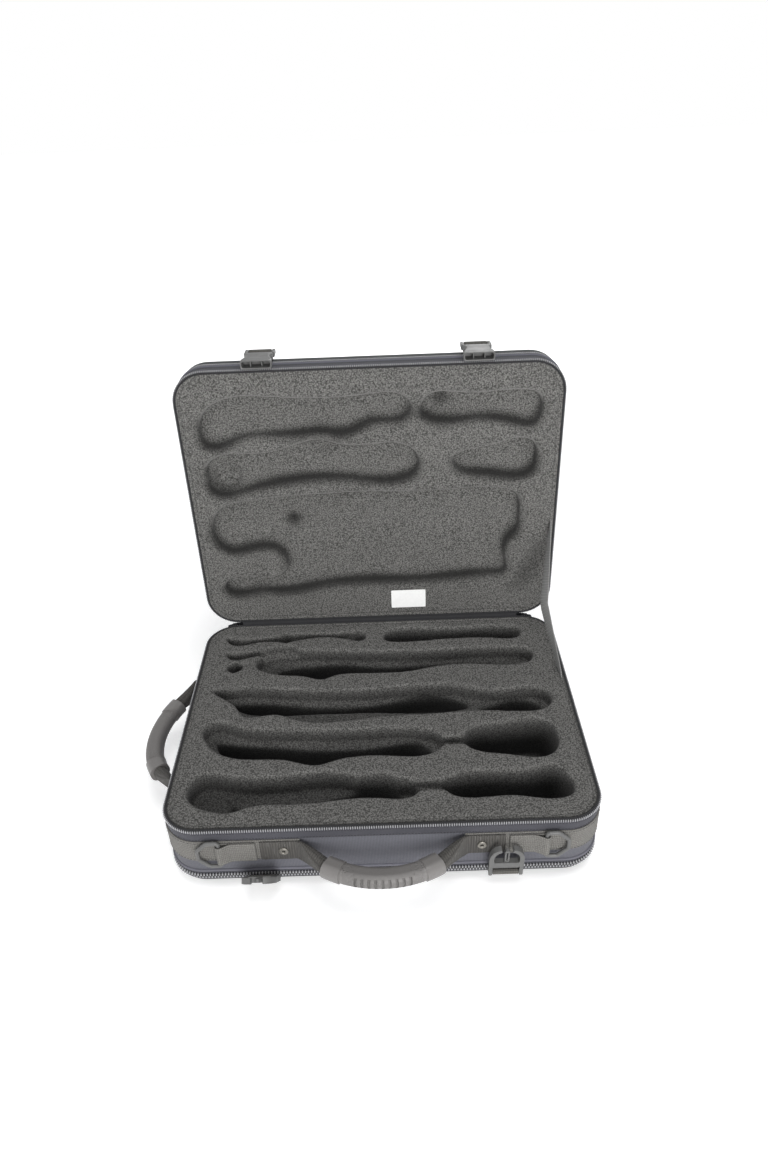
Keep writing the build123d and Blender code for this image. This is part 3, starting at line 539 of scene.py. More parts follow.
FLOAT, VECTOR, COLOUR = "NodeSocketFloat", "NodeSocketVector", "NodeSocketColor"
GEOMETRY, MATERIAL = "NodeSocketGeometry", "NodeSocketMaterial"
Outputs = bpy.types.bpy_prop_collection


@dataclass
class Nodes:
    """A thin wrapper that adds and links nodes of one tree."""

    tree: bpy.types.NodeTree

    def feed(self, target: bpy.types.NodeSocket, value: object) -> None:
        """Give a socket a link or a plain value.

        Args:
            target: The socket.
            value: Another socket, or a value.
        """
        if isinstance(value, bpy.types.NodeSocket):
            self.tree.links.new(value, target)
        else:
            target.default_value = value

    def add(self, kind: str, feeds: dict[int | str, object] | None = None,
            **settings: object) -> bpy.types.Node:
        """Add a node.

        Args:
            kind: The node's type.
            feeds: Links or values for its inputs, by name or number.
            **settings: Properties to set on it first.

        Returns:
            The node.
        """
        node = self.tree.nodes.new(kind)
        for key, value in settings.items():
            setattr(node, key, value)
        for key, value in (feeds or {}).items():
            self.feed(node.inputs[key], value)
        return node

    def math(self, operation: str, *values: object) -> bpy.types.NodeSocket:
        """Add a Math node and return its output."""
        return self.add("ShaderNodeMath", dict(enumerate(values)), operation=operation).outputs[0]

    def plus(self, base: object, value: object, gain: object) -> bpy.types.NodeSocket:
        """Add a value's share to a base."""
        return self.math("ADD", base, self.math("MULTIPLY", value, gain))

    def mix(self, factor: object, a: object, b: object) -> bpy.types.NodeSocket:
        """Mix two colours."""
        return self.add("ShaderNodeMix", {0: factor, 6: a, 7: b}, data_type="RGBA").outputs[2]

    def scaled(self, vector: object, factor: object) -> bpy.types.NodeSocket:
        """Scale a vector or a colour."""
        return self.add("ShaderNodeVectorMath", {0: vector, "Scale": factor},
                        operation="SCALE").outputs[0]

    def noise(self, vector: object, scale: float, detail: float = 2.0) -> bpy.types.NodeSocket:
        """Add a Noise Texture and return its factor."""
        feeds = {"Vector": vector, "Scale": scale, "Detail": detail}
        return self.add("ShaderNodeTexNoise", feeds).outputs["Fac"]

    def cells(self, vector: object, smoothness: float = 0.0) -> bpy.types.NodeSocket:
        """Add a Voronoi Texture of unit cells.

        Args:
            vector: Where the cells are read.
            smoothness: How far they run together, 0 for not.

        Returns:
            The distance to a cell's point.
        """
        feeds = {"Vector": vector, "Scale": 1.0}
        if smoothness:
            feeds["Smoothness"] = smoothness
        feature = "SMOOTH_F1" if smoothness else "F1"
        return self.add("ShaderNodeTexVoronoi", feeds, feature=feature).outputs["Distance"]

    def ramp(self, value: object, low: float, high: float) -> bpy.types.NodeSocket:
        """Spread a value from low..high to 0..1."""
        return self.add("ShaderNodeMapRange", {0: value, 1: low, 2: high}).outputs[0]

    def seen(self) -> bpy.types.NodeSocket:
        """Tell the rays of the camera, of gloss and of glass from the rest.

        Returns:
            1 for them and 0 for the rest.
        """
        rays = self.add("ShaderNodeLightPath").outputs
        seen = self.math("MAXIMUM", rays["Is Camera Ray"], rays["Is Glossy Ray"])
        return self.math("MAXIMUM", seen, rays["Is Transmission Ray"])

    def put(self, **values: object) -> bpy.types.NodeTree:
        """Feed the group's outputs and return its tree."""
        self.add("NodeGroupOutput", values)
        return self.tree


def group(name: str, inputs: dict[str, str], outputs: dict[str, str],
          kind: str = "ShaderNodeTree") -> tuple[Nodes, Outputs]:
    """Start a node group.

    Args:
        name: The group's name.
        inputs: The type of each input by name.
        outputs: The type of each output by name.
        kind: The type of its tree.

    Returns:
        The group's nodes and the sockets that bring its inputs.
    """
    tree = bpy.data.node_groups.new(name, kind)
    for way, sockets in (("INPUT", inputs), ("OUTPUT", outputs)):
        for label, socket_type in sockets.items():
            tree.interface.new_socket(name=label, in_out=way, socket_type=socket_type)
    nodes = Nodes(tree)
    return nodes, nodes.add("NodeGroupInput").outputs


class Groups:
    """The node groups that more than one finish or row uses, each built once."""

    @staticmethod
    @cache
    def weave() -> bpy.types.NodeTree:
        """Plain weave, with crossing threads that pass over and under.

        Returns:
            A group that gives a height and a shade.
        """
        n, get = group("Weave", {"Vector": VECTOR, "Warp Pitch": FLOAT, "Weft Pitch": FLOAT},
                       {"Height": FLOAT, "Shade": FLOAT})
        split = n.add("ShaderNodeSeparateXYZ", {0: get["Vector"]}).outputs
        u = n.math("DIVIDE", split[0], get["Warp Pitch"])
        v = n.math("DIVIDE", split[1], get["Weft Pitch"])
        cells = n.math("ADD", n.math("FLOOR", u), n.math("FLOOR", v))
        over = n.math("FRACT", n.math("MULTIPLY", cells, 0.5))
        over = n.math("GREATER_THAN", over, 0.25)
        under = n.math("SUBTRACT", 1.0, over)
        warp, weft = (n.math("ABSOLUTE", n.math("SINE", n.math("MULTIPLY", way, math.pi)))
                      for way in (u, v))
        top, along = (n.plus(n.math("MULTIPLY", a, over), b, under)
                      for a, b in ((warp, weft), (weft, warp)))
        height = n.math("MULTIPLY", n.math("POWER", top, 0.6), n.plus(0.45, along, 0.55))
        return n.put(Height=height, Shade=n.ramp(height, 0.1, 0.8))

    @staticmethod
    @cache
    def mottle() -> bpy.types.NodeTree:
        """Slow and fast variation of a colour, as handled cloth and moulded parts show.

        Returns:
            A group that gives the varied colour.
        """
        n, get = group("Mottle", {"Vector": VECTOR, "Colour": COLOUR, "Amount": FLOAT},
                       {"Colour": COLOUR})
        slow, fast = n.noise(get["Vector"], 14.0, 3.0), n.noise(get["Vector"], 420.0)
        both = n.plus(n.math("MULTIPLY", slow, 0.6), fast, 0.4)
        swing = n.math("MULTIPLY", n.math("SUBTRACT", both, 0.5), get["Amount"])
        gain = n.plus(1.0, swing, 4.0)
        return n.put(Colour=n.scaled(get["Colour"], gain))

    @staticmethod
    @cache
    def pile() -> bpy.types.NodeTree:
        """Short plush pile with tufts and stray fibres.

        Returns:
            A group that gives a height and a shade.
        """
        n, get = group("Pile", {"Vector": VECTOR, "Tuft Size": FLOAT},
                       {"Height": FLOAT, "Shade": FLOAT})
        where = n.scaled(get["Vector"], n.math("DIVIDE", 1.0, get["Tuft Size"]))
        tufts = n.ramp(n.cells(where, 0.35), 0.8, 0.1)
        clumps, fibres = n.noise(where, 1.1), n.noise(where, 3.6, 3.0)
        both = n.plus(n.math("MULTIPLY", clumps, 0.4), fibres, 0.4)
        height = n.plus(both, tufts, 0.2)
        return n.put(Height=height, Shade=n.ramp(height, 0.4, 0.6))

    @staticmethod
    @cache
    def grain() -> bpy.types.NodeTree:
        """Fine moulded grain with faint scuffs.

        Returns:
            A group that gives a height and a roughness change.
        """
        n, get = group("Grain", {"Vector": VECTOR, "Size": FLOAT, "Roughness": FLOAT},
                       {"Height": FLOAT, "Roughness": FLOAT})
        height = n.cells(n.scaled(get["Vector"], n.math("DIVIDE", 1.0, get["Size"])))
        scuffs = n.ramp(n.noise(get["Vector"], 95.0, 6.0), 0.45, 0.75)
        rough = n.plus(get["Roughness"], scuffs, 0.16)
        return n.put(Height=height, Roughness=rough)

    @staticmethod
    @cache
    def beads() -> bpy.types.NodeTree:
        """Small beads that repeat along a path, as teeth and stitches do.

        Returns:
            A group of geometry nodes.
        """
        inputs = {"Path": GEOMETRY, "Pitch": FLOAT, "Size": VECTOR, "Finish": MATERIAL}
        n, get = group("Beads Along Path", inputs, {"Beads": GEOMETRY}, "GeometryNodeTree")
        line = n.add("GeometryNodeMeshToCurve", {0: get["Path"]}).outputs[0]
        level = n.add("GeometryNodeSetCurveNormal", {"Curve": line}, mode="Z_UP").outputs["Curve"]
        path = n.add("GeometryNodeResampleCurve", {"Curve": level, "Length": get["Pitch"]},
                     mode="LENGTH").outputs["Curve"]
        tangent, normal = (n.add(f"GeometryNodeInput{way}").outputs[0]
                           for way in ("Tangent", "Normal"))
        first = n.add("FunctionNodeAlignRotationToVector", {"Vector": tangent}, axis="X")
        second = n.add("FunctionNodeAlignRotationToVector",
                       {"Rotation": first.outputs[0], "Vector": normal},
                       axis="Y", pivot_axis="X")
        bead = n.add("GeometryNodeMeshUVSphere", {"Segments": 8, "Rings": 5, "Radius": 0.5})
        shape = n.add("GeometryNodeTransform",
                      {"Geometry": bead.outputs["Mesh"], "Scale": get["Size"]})
        repeat = n.add("GeometryNodeInstanceOnPoints", {
            "Points": path, "Instance": shape.outputs["Geometry"], "Rotation": second.outputs[0]})
        real = n.add("GeometryNodeRealizeInstances", {0: repeat.outputs[0]})
        finish = n.add("GeometryNodeSetMaterial",
                       {"Geometry": real.outputs[0], "Material": get["Finish"]})
        return n.put(Beads=finish.outputs[0])


class Coordinates(Enum):
    """Where a finish reads its place on a piece."""

    CLOTH = "UV"
    OBJECT = "Object"


@dataclass
class Shader:
    """A material under construction, with its Principled BSDF."""

    name: str
    coordinates: Coordinates = Coordinates.OBJECT
    material: bpy.types.Material = field(init=False)
    nodes: Nodes = field(init=False)
    surface: bpy.types.Node = field(init=False)
    where: bpy.types.NodeSocket = field(init=False)

    def __post_init__(self) -> None:
        """Make the material with its surface and its coordinates."""
        self.material = bpy.data.materials.new(self.name)
        self.material.use_nodes = True
        self.nodes = Nodes(self.material.node_tree)
        self.surface = self.material.node_tree.nodes["Principled BSDF"]
        source = self.nodes.add("ShaderNodeTexCoord")
        self.where = source.outputs[self.coordinates.value]

    def use(self, tree: bpy.types.NodeTree, **values: object) -> Outputs:
        """Place a group on the finish's coordinates.

        Args:
            tree: The group.
            **values: Its other inputs by name, with _ for a space.

        Returns:
            The group's outputs.
        """
        feeds = {key.replace("_", " "): value for key, value in values.items()}
        node = self.nodes.add("ShaderNodeGroup", {"Vector": self.where, **feeds}, node_tree=tree)
        return node.outputs

    def share(self, name: str) -> bpy.types.NodeSocket:
        """Read a value that the piece's points carry."""
        return self.nodes.add("ShaderNodeAttribute", attribute_name=name).outputs["Fac"]

    def bump(self, height: object, distance: float, under: object = None) -> bpy.types.NodeSocket:
        """Add a Bump node.

        Args:
            height: What raises the surface.
            distance: How far, in metres.
            under: A normal that it builds on.

        Returns:
            The bumped normal.
        """
        feeds = {"Distance": distance, "Strength": 1.0, "Height": height}
        if under is not None:
            feeds["Normal"] = under
        return self.nodes.add("ShaderNodeBump", feeds).outputs[0]

    def set(self, **values: object) -> None:
        """Set the surface's own sockets, with _ for a space."""
        for key, value in values.items():
            self.nodes.feed(self.surface.inputs[key.replace("_", " ")], value)


def rgba(colour: Colour, gain: float = 1.0) -> tuple[float, float, float, float]:
    """A colour with alpha, lightened or darkened."""
    return colour[0] * gain, colour[1] * gain, colour[2] * gain, 1.0


@dataclass(frozen=True)
class Cloth:
    """Woven cloth: a cover, a tape, webbing or a binding."""

    name: str
    colour: Colour
    warp: float
    weft: float
    depth: float
    amount: float = 0.12
    sheen: float = 0.06
    roughness: float = 0.82
    specks: float = 0.0
    shaded: float = 0.45

    def material(self) -> bpy.types.Material:
        """Make the cloth's material.

        Returns:
            The material.
        """
        shader = Shader(self.name, Coordinates.CLOTH)
        n = shader.nodes
        weave = shader.use(Groups.weave(), Warp_Pitch=self.warp, Weft_Pitch=self.weft)
        mottle = shader.use(Groups.mottle(), Colour=rgba(self.colour), Amount=self.amount)
        tone = n.mix(weave["Shade"], rgba(self.colour, self.shaded), mottle["Colour"])
        if self.specks:
            fine = n.noise(shader.where, 900.0, 1.0)
            mask = n.math("MULTIPLY", n.ramp(fine, 0.62, 0.7), self.specks)
            tone = n.mix(mask, tone, rgba(SPECK))
        worn = n.noise(shader.where, 60.0, 4.0)
        rough = n.plus(self.roughness - 0.08, worn, 0.16)
        shader.set(Base_Color=tone, Roughness=rough, Sheen_Weight=self.sheen,
                   Normal=shader.bump(weave["Height"], self.depth),
                   Sheen_Roughness=0.5, Specular_IOR_Level=0.3)
        return shader.material


@dataclass(frozen=True)
class Plush:
    """Short-pile plush over foam, with the gain of its colour in each state: its lit and shaded
    tufts, a painted highlight and a painted shade.
    """

    name: str
    colour: Colour
    tuft: float = 1.55 * MM
    depth: float = 0.6 * MM
    lit: float = 1.65
    shaded: float = 0.38
    # Gain of the colour where a highlight is painted.
    painted_highlight: float = 1.9
    # Gain of the colour where shade is painted.
    painted_shade: float = 0.12

    def material(self) -> bpy.types.Material:
        """Make the plush's material.

        Returns:
            The material.
        """
        shader = Shader(self.name)
        n = shader.nodes
        pile = shader.use(Groups.pile(), Tuft_Size=self.tuft)
        mottle = shader.use(Groups.mottle(), Colour=rgba(self.colour, self.lit), Amount=0.06)
        tone = n.mix(pile["Shade"], rgba(self.colour, self.shaded), mottle["Colour"])
        # Painted highlight: a thin light line on the upper edges of the lid's hollows.
        tone = n.mix(shader.share("painted_highlight"), tone, rgba(self.colour, self.painted_highlight))
        # Painted shade: darker in wells, on the walls of hollows and on the rolled rim edge.
        tone = n.mix(shader.share("painted_shade"), tone, rgba(self.colour, self.painted_shade))
        worn = n.noise(shader.where, 30.0, 3.0)
        rough = n.plus(0.88, worn, 0.1)
        shader.set(Base_Color=tone, Roughness=rough, Sheen_Weight=0.07, Sheen_Roughness=0.5,
                   Normal=shader.bump(pile["Height"], self.depth), Specular_IOR_Level=0.1)
        return shader.material


@dataclass(frozen=True)
class Moulded:
    """Moulded plastic, rubber or painted metal."""

    name: str
    colour: Colour
    roughness: float
    grain: float = 0.5 * MM
    depth: float = 0.02 * MM
    metallic: float = 0.0
    coat: float = 0.0

    def material(self) -> bpy.types.Material:
        """Make the finish's material.

        Returns:
            The material.
        """
        shader = Shader(self.name)
        grain = shader.use(Groups.grain(), Size=self.grain, Roughness=self.roughness)
        mottle = shader.use(Groups.mottle(), Colour=rgba(self.colour), Amount=0.08)
        shader.set(Base_Color=mottle["Colour"], Roughness=grain["Roughness"],
                   Normal=shader.bump(grain["Height"], self.depth), Metallic=self.metallic,
                   Coat_Weight=self.coat, Coat_Roughness=0.25)
        return shader.material


@dataclass(frozen=True)
class Rubber(Moulded):
    """A handle's rubber: dimpled between its ribs and its collars, and polished at the collars."""

    along: int = 0
    middle: float = 0.0
    dimple: float = 2.6 * MM
    dimple_depth: float = 0.35 * MM
    collar: Pair = (37 * MM, 38 * MM)
    ribs: Pair = (27 * MM, 25 * MM)

    def material(self) -> bpy.types.Material:
        """Make the rubber's material.

        Returns:
            The material.
        """
        shader = Shader(self.name)
        n = shader.nodes
        grain = shader.use(Groups.grain(), Size=self.grain, Roughness=self.roughness)
        split = n.add("ShaderNodeSeparateXYZ", {0: shader.where}).outputs
        way = n.math("ABSOLUTE", n.math("SUBTRACT", split[self.along], self.middle))
        collar = n.ramp(way, *self.collar)
        plain = n.math("MAXIMUM", collar, n.ramp(way, *self.ribs))
        dents = n.ramp(n.cells(n.scaled(shader.where, 1 / self.dimple)), 0.15, 0.45)
        normal = shader.bump(n.math("MAXIMUM", dents, plain), self.dimple_depth,
                             shader.bump(grain["Height"], self.depth))
        worn = n.ramp(n.noise(shader.where, 70.0, 4.0), 0.4, 0.8)
        rough = n.math("SUBTRACT", 0.5, n.math("MULTIPLY", collar, 0.2))
        rough = n.plus(rough, worn, 0.12)
        shade = n.mix(n.math("MULTIPLY", collar, 0.5), rgba(self.colour), rgba(self.colour, 1.3))
        mottle = shader.use(Groups.mottle(), Colour=shade, Amount=0.1)
        shader.set(Base_Color=mottle["Colour"], Roughness=rough, Normal=normal,
                   Metallic=self.metallic, Coat_Weight=self.coat, Coat_Roughness=0.25)
        return shader.material


COVER = Cloth("cover_cloth", (0.118, 0.119, 0.138), 1.4 * MM, 1.2 * MM, 0.22 * MM)
# A darker copy of the cover cloth for the lid: painted shade, as the lid's walls face up and away
# from the front light.
LID_COVER_SHADED = Cloth("lid_cover_cloth", (0.06, 0.061, 0.07), 1.4 * MM, 1.2 * MM, 0.22 * MM)
PANEL = Cloth("panel_cloth", (0.03, 0.033, 0.034), 0.9 * MM, 0.9 * MM, 0.12 * MM)
TAPE = Cloth("zipper_tape", (0.062, 0.062, 0.074), 0.9 * MM, 1.5 * MM, 0.16 * MM, amount=0.2)
BINDING = Cloth("rim_binding", (0.02, 0.02, 0.022), 1.2 * MM, 0.6 * MM, 0.1 * MM)
PIPING = Cloth("piping_cloth", (0.14, 0.14, 0.165), 1.1 * MM, 0.8 * MM, 0.1 * MM)
WEBBING = Cloth("belt_webbing", (0.165, 0.159, 0.147), 1.7 * MM, 2.6 * MM, 0.5 * MM,
                specks=0.25)
ROLLED = Cloth("rolled_webbing", (0.07, 0.066, 0.061), 2.5 * MM, 6.2 * MM, 0.8 * MM,
               specks=0.1)
STRAP = Cloth("buckle_strap", (0.12, 0.115, 0.105), 1.6 * MM, 1.6 * MM, 0.35 * MM)
HINGE = Cloth("hinge_cloth", (0.02, 0.02, 0.022), 1.2 * MM, 0.9 * MM, 0.15 * MM)
STAY = Cloth("stay_ribbon", (0.28, 0.28, 0.275), 1.9 * MM, 60 * MM, 0.5 * MM)
PILE = Plush("plush_pile", (0.117, 0.115, 0.11))
# The teeth's light grey is partly their own colour and partly a painted highlight for the sheen on
# them.
TEETH = Moulded("zipper_teeth", (0.29, 0.29, 0.305), 0.3, coat=0.3)
# Near-black band behind the teeth: a painted shadow for the gaps between them.
COIL_SHADOW = Moulded("coil_shadow", (0.012, 0.012, 0.013), 0.6)
THREAD = Moulded("sewing_thread", (0.02, 0.02, 0.024), 0.75)
RUBBER = Rubber("front_grip_rubber", (0.128, 0.122, 0.118), 0.42, 0.7 * MM, 0.05 * MM)
SIDE_RUBBER = Rubber("side_grip_rubber", (0.128, 0.122, 0.118), 0.42, 0.7 * MM, 0.05 * MM,
                     along=1, middle=-2 * MM)
BUCKLE = Moulded("buckle_plastic", (0.085, 0.085, 0.083), 0.5, coat=0.1)
ENAMEL = Moulded("slider_enamel", (0.05, 0.05, 0.054), 0.3, metallic=0.6)
RIVET = Moulded("rivet_metal", (0.2, 0.19, 0.17), 0.34, metallic=0.85)
LABEL = Moulded("label_plastic", (0.86, 0.86, 0.85), 0.4)
SHELL = Moulded("shell_board", (0.04, 0.04, 0.045), 0.6)

Finish = Cloth | Plush | Moulded


@cache
def material_of(finish: Finish) -> bpy.types.Material:
    """A finish's material, made when it is first asked for."""
    return finish.material()


def dress(piece: bpy.types.Object, finish: Finish) -> bpy.types.Object:
    """Give a piece one finish.

    Args:
        piece: The piece.
        finish: What it is made of.

    Returns:
        The same piece.
    """
    piece.data.materials.clear()
    piece.data.materials.append(material_of(finish))
    return piece


def seat(piece: bpy.types.Object, body: str, slot: str, node: str) -> None:
    """Make a finished piece part of the object, riding on one body.

    Args:
        piece: The piece.
        body: The CAD body that it moves with.
        slot: Not used.
        node: The CAD node that it stands for.
    """
    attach(piece, body)
    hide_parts(node)
    LOG.info("%s: %d faces", piece.name, len(piece.data.polygons))


def bend(piece: bpy.types.Object, node: str, body: str, start: Sequence[float]) -> None:
    """Hide the CAD node that a finished piece stands for and bake the piece's place into its mesh.

    Args:
        piece: The piece.
        node: The CAD node that it stands for.
        body: The CAD body named in the log.
        start: Where it leaves the base; not used.
    """
    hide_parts(node)
    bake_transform(piece)
    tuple(start)
    LOG.info("%s blends from base to %s", piece.name, body)


# Soft walls of both halves


@dataclass
class Row:
    """A row of teeth or stitches along a path on one half of the case."""

    name: str
    half: Half
    finish: Moulded
    grow: float
    up: float
    pitch: float
    size: Spot
    start: float = 0.0
    end: float | None = None

    def path(self) -> bpy.types.Object:
        """Make the line that the row follows.

        Returns:
            A line of edges in the half's own frame.
        """
        stations = OUTLINE.stations(3 * MM, self.start, self.end)
        verts = [(*st.out(self.grow), self.up) for st in stations]
        edges = [(i, i + 1) for i in range(len(verts) - 1)]
        if self.end is None:
            edges.append((len(verts) - 1, 0))
        mesh = bpy.data.meshes.new(self.name + "_path")
        mesh.from_pydata(verts, edges, [])
        return new_object(self.name + "_path", mesh)

    def build(self) -> bpy.types.Object:
        """Repeat a bead along the path.

        Returns:
            A plain mesh in place on its half.
        """
        line, tree = self.path(), Groups.beads()
        values = {"Pitch": self.pitch, "Size": self.size, "Finish": material_of(self.finish)}
        modifier = line.modifiers.new("grow", "NODES")
        modifier.node_group = tree
        for item in tree.interface.items_tree:
            if item.name in values:
                modifier[item.identifier] = values[item.name]
        mesh = evaluated(line)
        bpy.data.objects.remove(line)
        mesh.name = self.name
        mesh.transform(self.half.place)
        mesh.shade_smooth()
        return new_object(self.name, mesh)


RIPPLE = 0.25 * MM
RIPPLES_ROUND, RIPPLES_UP = 22, 34


def ripple(st: Station, _out: float, up: float) -> float:
    """How far cloth lies back from its face at a station."""
    spot = Vector((st.x * RIPPLES_ROUND, st.y * RIPPLES_ROUND, up * RIPPLES_UP))
    return -RIPPLE * (0.5 + 0.5 * noise.noise(spot))


@dataclass
class Pan:
    """A soft panel with a rounded edge that closes one side of a half, like a tray."""

    name: str
    half: Half
    node: str
    seam: float
    face: float
    edge: float
    crown: float = 0.0
    flat: float = 31 * MM

    @property
    def way(self) -> int:
        """1 where the panel faces up in its half's own frame, -1 where it faces down."""
        return 1 if self.face > self.seam else -1

    def section(self) -> list[Pair]:
        """Run from the middle of the outside, over the edge and back along the inside.

        Returns:
            Points as distance out and height.
        """
        middle = self.face - self.way * self.edge
        drop = (middle - self.seam) * self.way
        outside, inside = [], []
        for thick, run in ((0.0, outside), (CASE.skin, inside)):
            r = self.edge - thick
            tip = math.degrees(math.asin((self.seam - middle) / r)) if drop < 0 else 0
            reach = [self.flat + (self.edge - self.flat) * i / 4 for i in range(4)]
            run += [(-s, self.face - self.way * thick) for s in reach]
            run += arc_points((-self.edge, middle), r, 90 * self.way, tip, 8)
            if drop > 0:
                run += [(-thick, middle - (middle - self.seam) * i / 3) for i in (1, 2, 3)]
        return outside + inside[::-1]

    def wave(self, st: Station, out: float, up: float) -> float:
        """Ripple the edge and leave the flat part even."""
        return ripple(st, out, up) if out > -self.edge / 2 else 0.0

    def build(self) -> None:
        """Build the panel, its seam sewn to the zipper's tape."""
        stations = OUTLINE.stations(5 * MM)
        section = self.section()
        rows = swept(stations, section, self.wave)
        u = [st.s for st in stations] + [OUTLINE.length]
        mesh = Lattice(self.name, rows, u, running(section, False), closed_u=True).mesh()
        self.close(mesh, len(rows), len(section))
        piece = placed(self.name, mesh, self.half.place)
        seat(dress(piece, PANEL), self.half.value, "fabric", self.node)

    def close(self, mesh: bpy.types.Mesh, rows: int, cols: int) -> None:
        """Fill the two flat middles with rings that crown a little.

        Args:
            mesh: The swept edge, whose first and last rings stay open.
            rows: Stations round the outline.
            cols: Points of the section.
        """
        with edited(mesh) as work:
            work.verts.ensure_lookup_table()
            layer = work.loops.layers.uv.active
            rims = [[work.verts[i * cols + column] for i in range(rows)]
                    for column in (0, cols - 1)]
            for rim in rims:
                ring, faces = rim, []
                for share in (0.85, 0.65, 0.4, 0.15):
                    lift = self.crown * self.way * (1 - share * share)
                    inner = [work.verts.new((v.co.x * share, v.co.y * share, v.co.z + lift))
                             for v in rim]
                    for i in range(rows):
                        k = (i + 1) % rows
                        faces.append(work.faces.new((ring[i], ring[k], inner[k], inner[i])))
                    ring = inner
                faces.append(work.faces.new(ring))
                for loop in (loop for face in faces for loop in face.loops):
                    loop[layer].uv = loop.vert.co.xy
            bmesh.ops.recalc_face_normals(work, faces=work.faces)


@dataclass(frozen=True)
class Zip:
    """A zipper that follows the outline: its tape, its coil of teeth with a near-black band of
    painted shadow behind them, and its seams.
    """

    name: str
    half: Half
    node: str
    tape: Pair
    coil_up: float
    coil_size: float
    coil_out: float
    tooth: Spot
    pitch: float
    rows: tuple[float, ...]
    seams: tuple[float, ...]
    seam_out: float
    open_back: float = 0.0
    curved: bool = False
    finish: Cloth = TAPE

    def tape_section(self) -> list[Pair]:
        """Cut the tape: flat on the wall, or following the base's rounded edge.

        Returns:
            Points as distance out and height.
        """
        low, high = self.tape
        if not self.curved:
            proud = self.seam_out
            return box_section(proud / 2 - 0.15 * MM, (low + high) / 2, proud + 0.3 * MM,
                               high - low, 0.2 * MM)
        edge = CASE.base_edge
        tip = -math.degrees(math.asin((edge - low) / edge))
        outer = arc_points((-edge, edge), edge, tip, 0, 4) + [(0.0, 20 * MM), (0.0, high)]
        return outer + [(out - CASE.skin, up) for out, up in reversed(outer)]

    def build(self) -> None:
        """Build tape, the band of painted shadow behind the teeth, teeth and stitches."""
        start = self.open_back
        end = OUTLINE.length - start if start else None
        # The band under the teeth is near black, a painted shadow in the gaps between them.
        core = box_section(self.coil_out - 0.5 * MM, self.coil_up, self.tooth[1] * 0.75,
                           self.coil_size * 0.8, self.coil_size * 0.4)
        pieces = []
        for part, section, finish in (("tape", self.tape_section(), self.finish),
                                      ("coil_gap_shadow", core, COIL_SHADOW)):
            band = Band(f"{self.name}_{part}", self.half, section, start, end)
            pieces.append(dress(band.build(), finish))
        for i, shift in enumerate(self.rows):
            row = Row(f"{self.name}_teeth_{i + 1}", self.half, TEETH, self.coil_out,
                      self.coil_up + shift, self.pitch, self.tooth,
                      start + (self.pitch / 2 if i % 2 else 0.0),
                      end and end - self.pitch / 2)
            pieces.append(row.build())
        for i, up in enumerate(self.seams):
            row = Row(f"{self.name}_seam_{i + 1}", self.half, THREAD, self.seam_out + 0.05 * MM,
                      up, 3.0 * MM, (2.2 * MM, 0.45 * MM, 0.5 * MM), start, end)
            pieces.append(row.build())
        for piece in pieces:
            seat(piece, self.half.value, "zipper", self.node)


@dataclass(frozen=True)
class Trim:
    """A plain band of one half, with its centre and its size in mm, outward first."""

    name: str
    node: str
    slot: str
    half: Half
    finish: Finish
    centre: Pair
    size: Pair
    radius: float
    step: float = 4.0
    wave: Wave | None = None

    def build(self) -> None:
        """Sweep the band and seat it."""
        (out, up), (width, height), half = self.centre, self.size, self.half.value
        section = box_section(out * MM, up * MM, width * MM, height * MM, self.radius * MM,
                              self.step * MM)
        band = Band(f"{half}_{self.name}", self.half, section, wave=self.wave)
        piece = dress(band.build(), self.finish)
        # On the base, the plush edge takes a painted shade that darkens towards its outer side,
        # where it rolls down to the zipper.
        if self.finish is PILE and self.half is Half.BASE:
            dark = [clamped((OUTLINE.away(v.co.x, v.co.y)[0] + 4.2 * MM) / (2.4 * MM))
                    for v in piece.data.vertices]
            mark(piece.data, "painted_shade", [min(0.75, value) for value in dark])
        seat(piece, half, self.slot, f"{half}_{self.node}")


